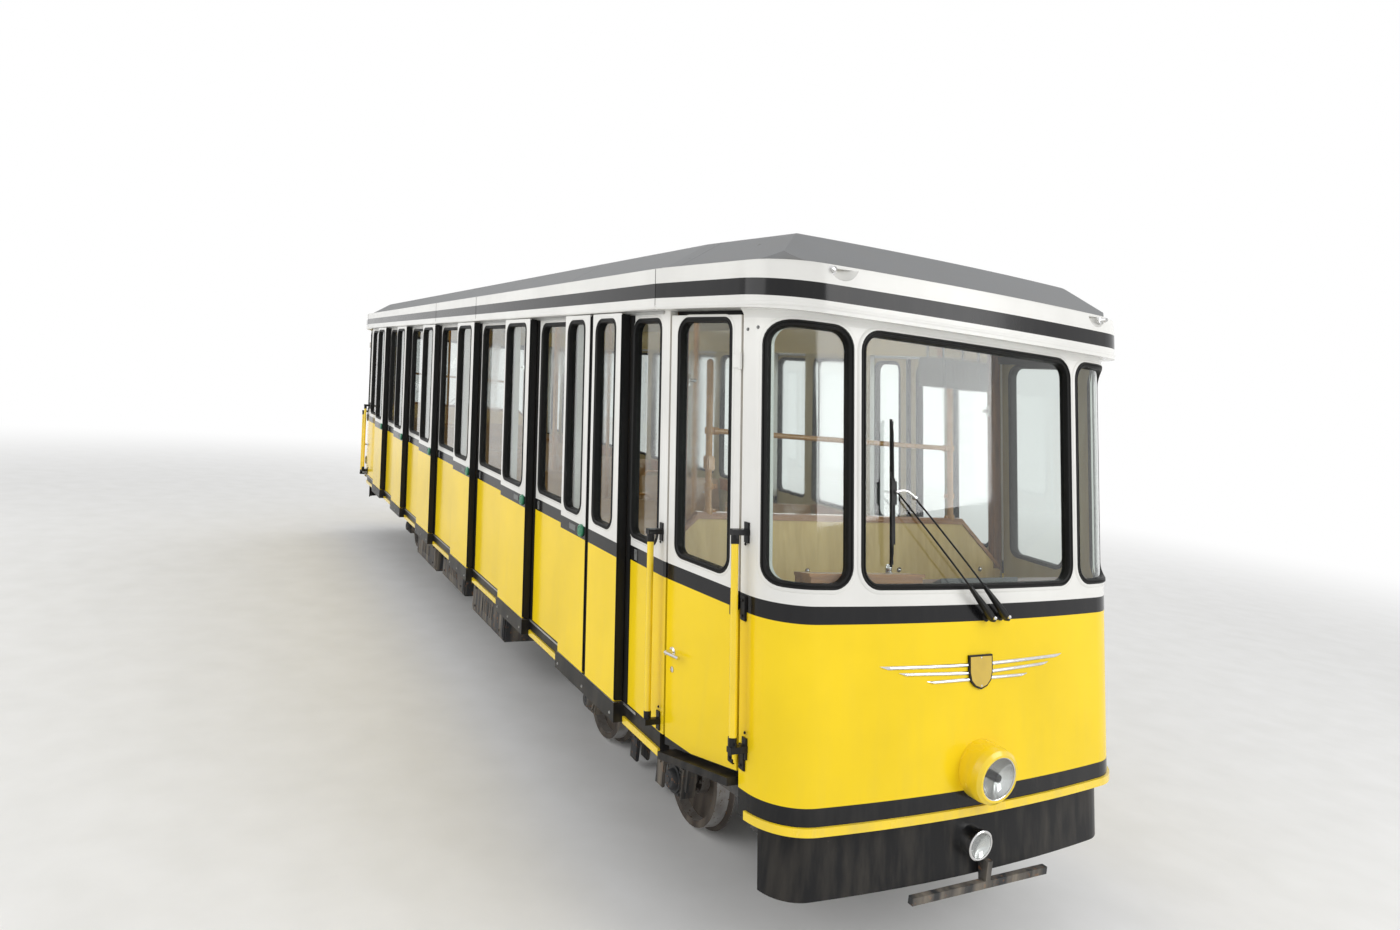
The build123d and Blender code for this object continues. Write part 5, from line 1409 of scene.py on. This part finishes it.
# Grab poles: ochre tubes between floor and ceiling beside the aisle, each end held in a turned
# collar whose flange is screwed to floor or ceiling.
CEILING = 3.185
POLE_Y = 0.27
UP = Vector((-0.18, 0, 1)).normalized()
COLLAR = [(0.0172, -0.004), (0.042, -0.004), (0.042, 0.005), (0.027, 0.009), (0.0235, 0.014), (0.0235, 0.036),
          (0.0172, 0.039)]
collars = []
for bay in bays:
    station = bay["leaves"][-1][0] - 0.04
    for y in (POLE_Y, -POLE_Y):
        for z, axis in ((floor_level(station), UP), (CEILING, -UP)):
            centre = Vector((station + lean(z), y, z))
            collars.append(turned(COLLAR, centre, axis, 28))
            for k in range(3):
                angle = 2 * math.pi * k / 3 + 0.4
                out = Vector((math.cos(angle), math.sin(angle), 0))
                collars.append(bolt(centre + out * 0.034 + axis * 0.006, axis, 0.0055, 0.003))
piece("pole_collars", collars, ochre)

# Low walls: laminate boards right across behind each driver, capped with oiled wood, held by domed
# nuts, with two ochre tubes clamped to them that turn inwards to the ceiling and one between. Wooden
# posts stand at the walls' ends, and a slatted grey box hangs from the ceiling over each.
WALL_FACES = (4.709, 4.739)
WALL_MIDDLE = sum(WALL_FACES) / 2
WALL_TOP = 1.9
WALL_END = 1.099
WALL_LEVEL = (-0.97, 0.79)
WALL_FALL = 0.87
CAB_POSTS = (-0.905, 0.712)
CROSS_TUBE_Z = 2.31
BEND_Z = 2.65
CATCH_Z = 2.55
BOX_Z = (2.66, 2.83)
WALL_NUT = [(0, 0), (0.016, 0), (0.016, 0.002), (0.009, 0.003), (0.0085, 0.008), (0.005, 0.011), (0, 0.012)]
TUBE_CLAMP = [(0.0173, -0.016), (0.0225, -0.016), (0.0235, -0.012), (0.0235, 0.012), (0.0225, 0.016),
              (0.0173, 0.016)]
CROSS_SOCKET = [(0.0144, 0.02), (0.0195, 0.02), (0.0195, 0.05), (0.0144, 0.054)]
TUBE_SOCKET = [(0.0172, 0.004), (0.0235, 0.004), (0.0235, 0.034), (0.0172, 0.038)]
FLANGE = [(0.015, 0), (0.045, 0), (0.045, 0.006), (0.015, 0.006)]
CATCH = [(0, 0), (0.008, 0), (0.008, 0.02), (0.0115, 0.026), (0.009, 0.034), (0, 0.036)]


def plank(one, two, x0, x1, low, high, end):
    """Strip along the top edge of a low wall, between two points (y, z) of that edge."""
    points = []
    for y, z in (one, two):
        for station, level in ((x0, low), (x1, low), (x1, high), (x0, high)):
            points.append((facing(station, end) + lean(z + level), end * y, z + level))
    return points, walls(2, 4)


caps, nuts, clamps, posts, boxes, catches = [], [], [], [], [], []
left, right = WALL_LEVEL
edge_line = [(-WALL_END, WALL_TOP - (WALL_END + left) * WALL_FALL), (left, WALL_TOP), (right, WALL_TOP),
             (WALL_END, WALL_TOP - (WALL_END - right) * WALL_FALL)]
for name, end in ENDS:
    for one, two in zip(edge_line, edge_line[1:]):
        caps.append(plank(one, two, WALL_FACES[0] - 0.007, WALL_FACES[1] + 0.007, -0.022, 0.004, end))
        caps.append(plank(one, two, WALL_FACES[0] - 0.001, WALL_FACES[1] + 0.001, 0.003, 0.01, end))
    for y in (-0.93, -0.31, 0.31, 0.93):
        for z in (1.12, 1.62):
            for face, out in zip(WALL_FACES, (-1, 1)):
                spot = (facing(face, end) + lean(z), end * y, z)
                nuts.append(turned(WALL_NUT, spot, (end * out, 0, 0), 18))
    station = facing(WALL_MIDDLE, end)
    for post in CAB_POSTS:
        y = end * post
        inward = end if post < 0 else -end
        for z in (WALL_TOP + 0.012, 2.035, CROSS_TUBE_Z):
            x = station + lean(z)
            clamps.append(turned(TUBE_CLAMP, (x, y, z), UP, 26))
            clamps.append(block(x - 0.006, x + 0.006, y + inward * 0.02, y + inward * 0.046, z - 0.012,
                                z + 0.012, 0.003))
            clamps.append(bolt((x + 0.006, y + inward * 0.036, z), (1, 0, 0), 0.0075, 0.006))
        cross = (station + lean(CROSS_TUBE_Z), y, CROSS_TUBE_Z)
        clamps.append(turned(CROSS_SOCKET, cross, (0, inward, 0), 24))
        top = Vector((station + lean(CEILING), y + inward * 0.19, CEILING))
        bend = Vector((station + lean(BEND_Z), y, BEND_Z))
        clamps.append(turned(TUBE_SOCKET, top, bend - top, 26))
        clamps.append(turned(FLANGE, top, (0, 0, -1), 26))
    y = CAB_POSTS[0]
    clamps.append(upright(station - 0.026, station + 0.026, end, y - 0.02, y + 0.024, 2.115, 2.185, 0.006))
    x0, x1 = sorted((facing(4.7, end), facing(4.745, end)))
    for side in (1, -1):
        posts.append(upright(x0, x1, side, 1.036, 1.108, 1.62, 3.02, 0.006))
        catches.append(upright(x0 + 0.008, x1 - 0.008, side, 1.02, 1.038, CATCH_Z - 0.03, CATCH_Z + 0.03,
                               0.004))
        spot = ((x0 + x1) / 2 + lean(CATCH_Z), side * 1.02, CATCH_Z)
        catches.append(turned(CATCH, spot, (0, -side, 0), 18))
    x0, x1, y0, y1 = *sorted((facing(4.6, end), facing(4.83, end))), *sorted((end * 0.57, end * 0.93))
    boxes.append(block(x0, x1, y0, y1, *BOX_Z, 0.012, True))
    for k in range(9):
        x, y = facing(4.83, end), y0 + 0.07 + k * 0.027
        boxes.append(block(x - end * 0.004, x + end * 0.003, y - 0.005, y + 0.005, 2.69, 2.8, 0.001, True))
    for x in (x0 + 0.05, x1 - 0.05):
        for y in (y0 + 0.04, y1 - 0.04):
            top = (x + lean(CEILING), y, CEILING)
            boxes.append(tube([(x + lean(2.82), y, 2.82), (*top[:2], CEILING - 0.001)], 0.006, 8))
            boxes.append(turned([(0, 0), (0.016, 0), (0.016, 0.004), (0, 0.004)], top, (0, 0, -1), 16))
piece("low_wall_caps", caps, trim_wood)
piece("low_wall_nuts", nuts, chrome)
piece("cab_rail_clamps", clamps, ochre)
piece("cab_posts", posts, post_wood)
piece("cab_post_catches", catches, chrome)
piece("overhead_boxes", boxes, grey_paint)

# Driver's desks: brown laminate tops with a wooden edge, each with a sloping panel of two round
# gauges and two rows of square push-buttons, and a brake handle on its spindle. A low wooden box
# for papers stands on its right half, under the windows.
DESK_TOP = 1.72
DESK_BACK = 0.27
GAUGE_RIM = [(0.048, -0.01), (0.052, -0.01), (0.052, 0.008), (0.049, 0.01), (0.046, 0.008), (0.046, 0.003)]
GAUGE_FACE = [(0.046, -0.004), (0.046, 0.0035), (0, 0.0035)]
GAUGE_PIN = [(0.006, 0.003), (0.005, 0.0065), (0, 0.007)]
SPINDLE = [(0, -0.002), (0.055, -0.002), (0.055, 0.01), (0.05, 0.016), (0.018, 0.02), (0.016, 0.05),
           (0, 0.05)]
KNOB = [(0, 0), (0.012, 0.0), (0.016, 0.012), (0.016, 0.03), (0.011, 0.04), (0, 0.042)]
DESK_SCREW = [(0.009, -0.001), (0.008, 0.002), (0, 0.003)]


def on_desk(end, y, depth, z=DESK_TOP):
    """Point over a desk, in the nose's own left and right."""
    return skin(run_at(end * y), z, end, -depth)[0]


def desk_slab(end, y0, y1, d0, d1, z0, z1, rise=0.0):
    """Flat-topped shape over a desk that follows the bowed end, between two heights over its top."""
    count = max(2, int(abs(y1 - y0) / 0.12))
    section = ((d0, z0), (d1, z0), (d1, z1), (d0, z1 + rise))
    points = [on_desk(end, y, depth, DESK_TOP + z) for y in steps_between(y0, y1, count)
              for depth, z in section]
    return points, walls(count + 1, 4)


panels, dials, keys, rims, handles, edges, boxes = [], [], [], [], [], [], []
for name, end in ENDS:
    edges.append(desk_slab(end, -0.96, 0.96, DESK_BACK - 0.004, DESK_BACK + 0.008, -0.05, 0.004))
    panels.append(desk_slab(end, -0.16, 0.34, 0.075, 0.2, -0.002, 0.012, 0.05))
    boxes.append(desk_slab(end, -0.88, -0.3, 0.04, 0.2, 0, 0.068))
    boxes.append(desk_slab(end, -0.89, -0.29, 0.034, 0.208, 0.068, 0.082))
    for y in (-0.08, 0.07):
        spot = on_desk(end, y, 0.135, DESK_TOP + 0.036)
        for made, profile, steps in ((rims, GAUGE_RIM, 36), (dials, GAUGE_FACE, 36), (dials, GAUGE_PIN, 12)):
            made.append(turned(profile, spot, (-end * 0.4, 0, 1), steps))
    for k in range(6):
        for row in (0, 1):
            x, y, z = on_desk(end, 0.16 + k * 0.028, 0.11 + row * 0.04, DESK_TOP + 0.046 - row * 0.016)
            keys.append(block(x - 0.009, x + 0.009, y - 0.009, y + 0.009, z - 0.012, z + 0.008, 0.003))
    spot = on_desk(end, -0.34, 0.15)
    rims.append(turned(SPINDLE, spot, (0, 0, 1), 32))
    arm = ((0, 0, 0.045), (-0.01 * end, 0, 0.06), (-0.12 * end, 0.02 * end, 0.066))
    handles.append(tube([spot + Vector(step) for step in arm], 0.008, 12))
    handles.append(turned(KNOB, spot + Vector((-0.115 * end, 0.02 * end, 0.06)), (0, 0, 1), 20))
    rims += [turned(DESK_SCREW, on_desk(end, y, 0.05), (0, 0, 1), 12) for y in (-0.8, -0.55, 0.5, 0.8)]
piece("desk_panels", panels, grey_paint)
piece("desk_edges", edges, trim_wood)
piece("desk_boxes", boxes, trim_wood)
piece("gauge_faces", dials, black_paint)
piece("gauge_rims", rims, chrome)
piece("desk_keys", keys, plate_grey)
piece("brake_handles", handles, chrome)

# Ceiling: cream sheets joined by aluminium strips with domed screws, with a row of opal lamps in
# grey trays along each side of the aisle.
LAMP_Y = 0.56
STRIP_SCREW = [(0.005, 0), (0.0045, 0.0016), (0, 0.0024)]
opal = weathered("opal plastic", (0.78, 0.78, 0.74), (0.6, 0.58, 0.5), 6.0, 0.0, 0.06, 0.3, 0.02)
opal.node_tree.nodes["Principled BSDF"].inputs["Emission Color"].default_value = (1.0, 0.95, 0.86, 1)
opal.node_tree.nodes["Principled BSDF"].inputs["Emission Strength"].default_value = 3.0
strips, trays, diffusers = [], [], []
for bay in bays:
    z = CEILING
    x = bay["far"] + lean(z)
    strips.append(block(x - 0.016, x + 0.016, -0.9, 0.9, z - 0.004, z + 0.001, 0.0015))
    strips += [turned(STRIP_SCREW, (x, k * 0.17, z - 0.004), (0, 0, -1), 10) for k in range(-5, 6)]
    centre = (bay["near"] + bay["far"]) / 2 + lean(z) + 0.12
    for y in (LAMP_Y, -LAMP_Y):
        trays.append(block(centre - 0.4, centre + 0.4, y - 0.075, y + 0.075, z - 0.018, z + 0.001, 0.004))
        diffusers.append(block(centre - 0.385, centre + 0.385, y - 0.06, y + 0.06, z - 0.05, z - 0.012,
                               0.018))
        for x in (centre - 0.39, centre + 0.39):
            trays.append(block(x - 0.014, x + 0.014, y - 0.064, y + 0.064, z - 0.053, z - 0.01, 0.008))
            trays.append(bolt((x, y, z - 0.053), (0, 0, -1), 0.006, 0.003))
piece("ceiling_strips", strips, aluminium)
piece("lamp_trays", trays, grey_paint)
piece("lamp_diffusers", diffusers, opal)

# Window sills: oiled wooden ledges under the fixed side windows, each over a board that two domed
# screws hold to the lining.
SILL_SCREW_Z = 1.64
shapes = []
for x0, x1 in fixed:
    for side in (1, -1):
        shapes.append(upright(x0 + 0.02, x1 - 0.02, side, 1.086, 1.112, 1.684, 1.702, 0.005))
        shapes.append(upright(x0 + 0.02, x1 - 0.02, side, 1.1, 1.1125, 1.6, 1.69, 0.003))
        for x in (x0 + 0.06, x1 - 0.06):
            spot = (x + lean(SILL_SCREW_Z), side * 1.1, SILL_SCREW_Z)
            shapes.append(turned([(0.006, 0), (0.005, 0.0022), (0, 0.003)], spot, (0, -side, 0), 10))
piece("window_sills", shapes, trim_wood)

# Studio: pale floor that fades into a white surround, soft light from the front, the side and behind,
# and the camera where the photograph was taken from.
FADE = (9.0, 20.0)         # distances between which the floor turns white
LAMPS = (
    # name, place, size, power, aim
    ("front light", (13.0, 5.0, 6.5), 6.0, 420.0, (4.0, 0.0, 1.6)),
    ("side light", (2.0, -12.0, 7.0), 9.0, 520.0, (0.0, 0.0, 1.5)),
    ("back light", (-11.0, 9.0, 8.0), 8.0, 420.0, (0.0, 0.0, 1.5)),
)
camera_data = bpy.data.cameras.new("camera")
camera = bpy.data.objects.new("camera", camera_data)
scene.collection.objects.link(camera)
camera_data.sensor_width = 36
camera_data.lens = 903.3661 / 1400 * 36
camera_data.clip_end = 200
camera.matrix_world = Matrix((
    (0.47122415, -0.1226249, 0.87344773, 8.55416),
    (0.87628428, -0.0476007, -0.47943721, -3.11009),
    (0.10036767, 0.9913109, 0.08502367, 2.51879),
    (0, 0, 0, 1),
))
scene.camera = camera
scene.view_settings.view_transform = "Standard"
world = bpy.data.worlds.new("surround")
scene.world = world
world.use_nodes = True
tree = world.node_tree
plain = tree.nodes["Background"]
plain.inputs["Color"].default_value = (1, 1, 1, 1)
plain.inputs["Strength"].default_value = 0.75
white = shader_node(tree, "Background", Color=(1, 1, 1, 1), Strength=1.0)
seen = shown_by(tree, ("Is Camera Ray", "Is Glossy Ray", "Is Transmission Ray"), plain.outputs[0],
                white.outputs[0])
tree.links.new(seen, tree.nodes["World Output"].inputs[0])
floor_finish = bpy.data.materials.new("pale floor")
floor_finish.use_nodes = True
tree = floor_finish.node_tree
shader = tree.nodes["Principled BSDF"]
shader.inputs["Roughness"].default_value = 0.9
shader.inputs["Specular IOR Level"].default_value = 0.1
cloud = spread(tree, noise(tree, 3.0, 5.0), 0.3, 0.7)
tree.links.new(mixed(tree, cloud, (0.8, 0.8, 0.79, 1), (0.84, 0.84, 0.835, 1)), shader.inputs["Base Color"])
glow = shader_node(tree, "Emission", Color=(1, 1, 1, 1), Strength=1.0)
far = shader_node(tree, "VectorMath", operation="LENGTH")
tree.links.new(tree.nodes.new("ShaderNodeTexCoord").outputs["Object"], far.inputs[0])
fade = tree.nodes.new("ShaderNodeMixShader")
tree.links.new(spread(tree, far.outputs["Value"], *FADE, smooth=True), fade.inputs[0])
tree.links.new(shader.outputs[0], fade.inputs[1])
tree.links.new(glow.outputs[0], fade.inputs[2])
tree.links.new(fade.outputs[0], tree.nodes["Material Output"].inputs[0])
mesh = bpy.data.meshes.new("floor")
mesh.from_pydata([(-60, -60, 0), (60, -60, 0), (60, 60, 0), (-60, 60, 0)], [], [(0, 1, 2, 3)])
mesh.materials.append(floor_finish)
ground = bpy.data.objects.new("floor", mesh)
scene.collection.objects.link(ground)
for name, place, size, power, aim in LAMPS:
    lamp = bpy.data.lights.new(name, "AREA")
    lamp.size = size
    lamp.energy = power
    light = bpy.data.objects.new(name, lamp)
    scene.collection.objects.link(light)
    light.location = place
    light.rotation_euler = (Vector(aim) - Vector(place)).to_track_quat("-Z", "Y").to_euler()
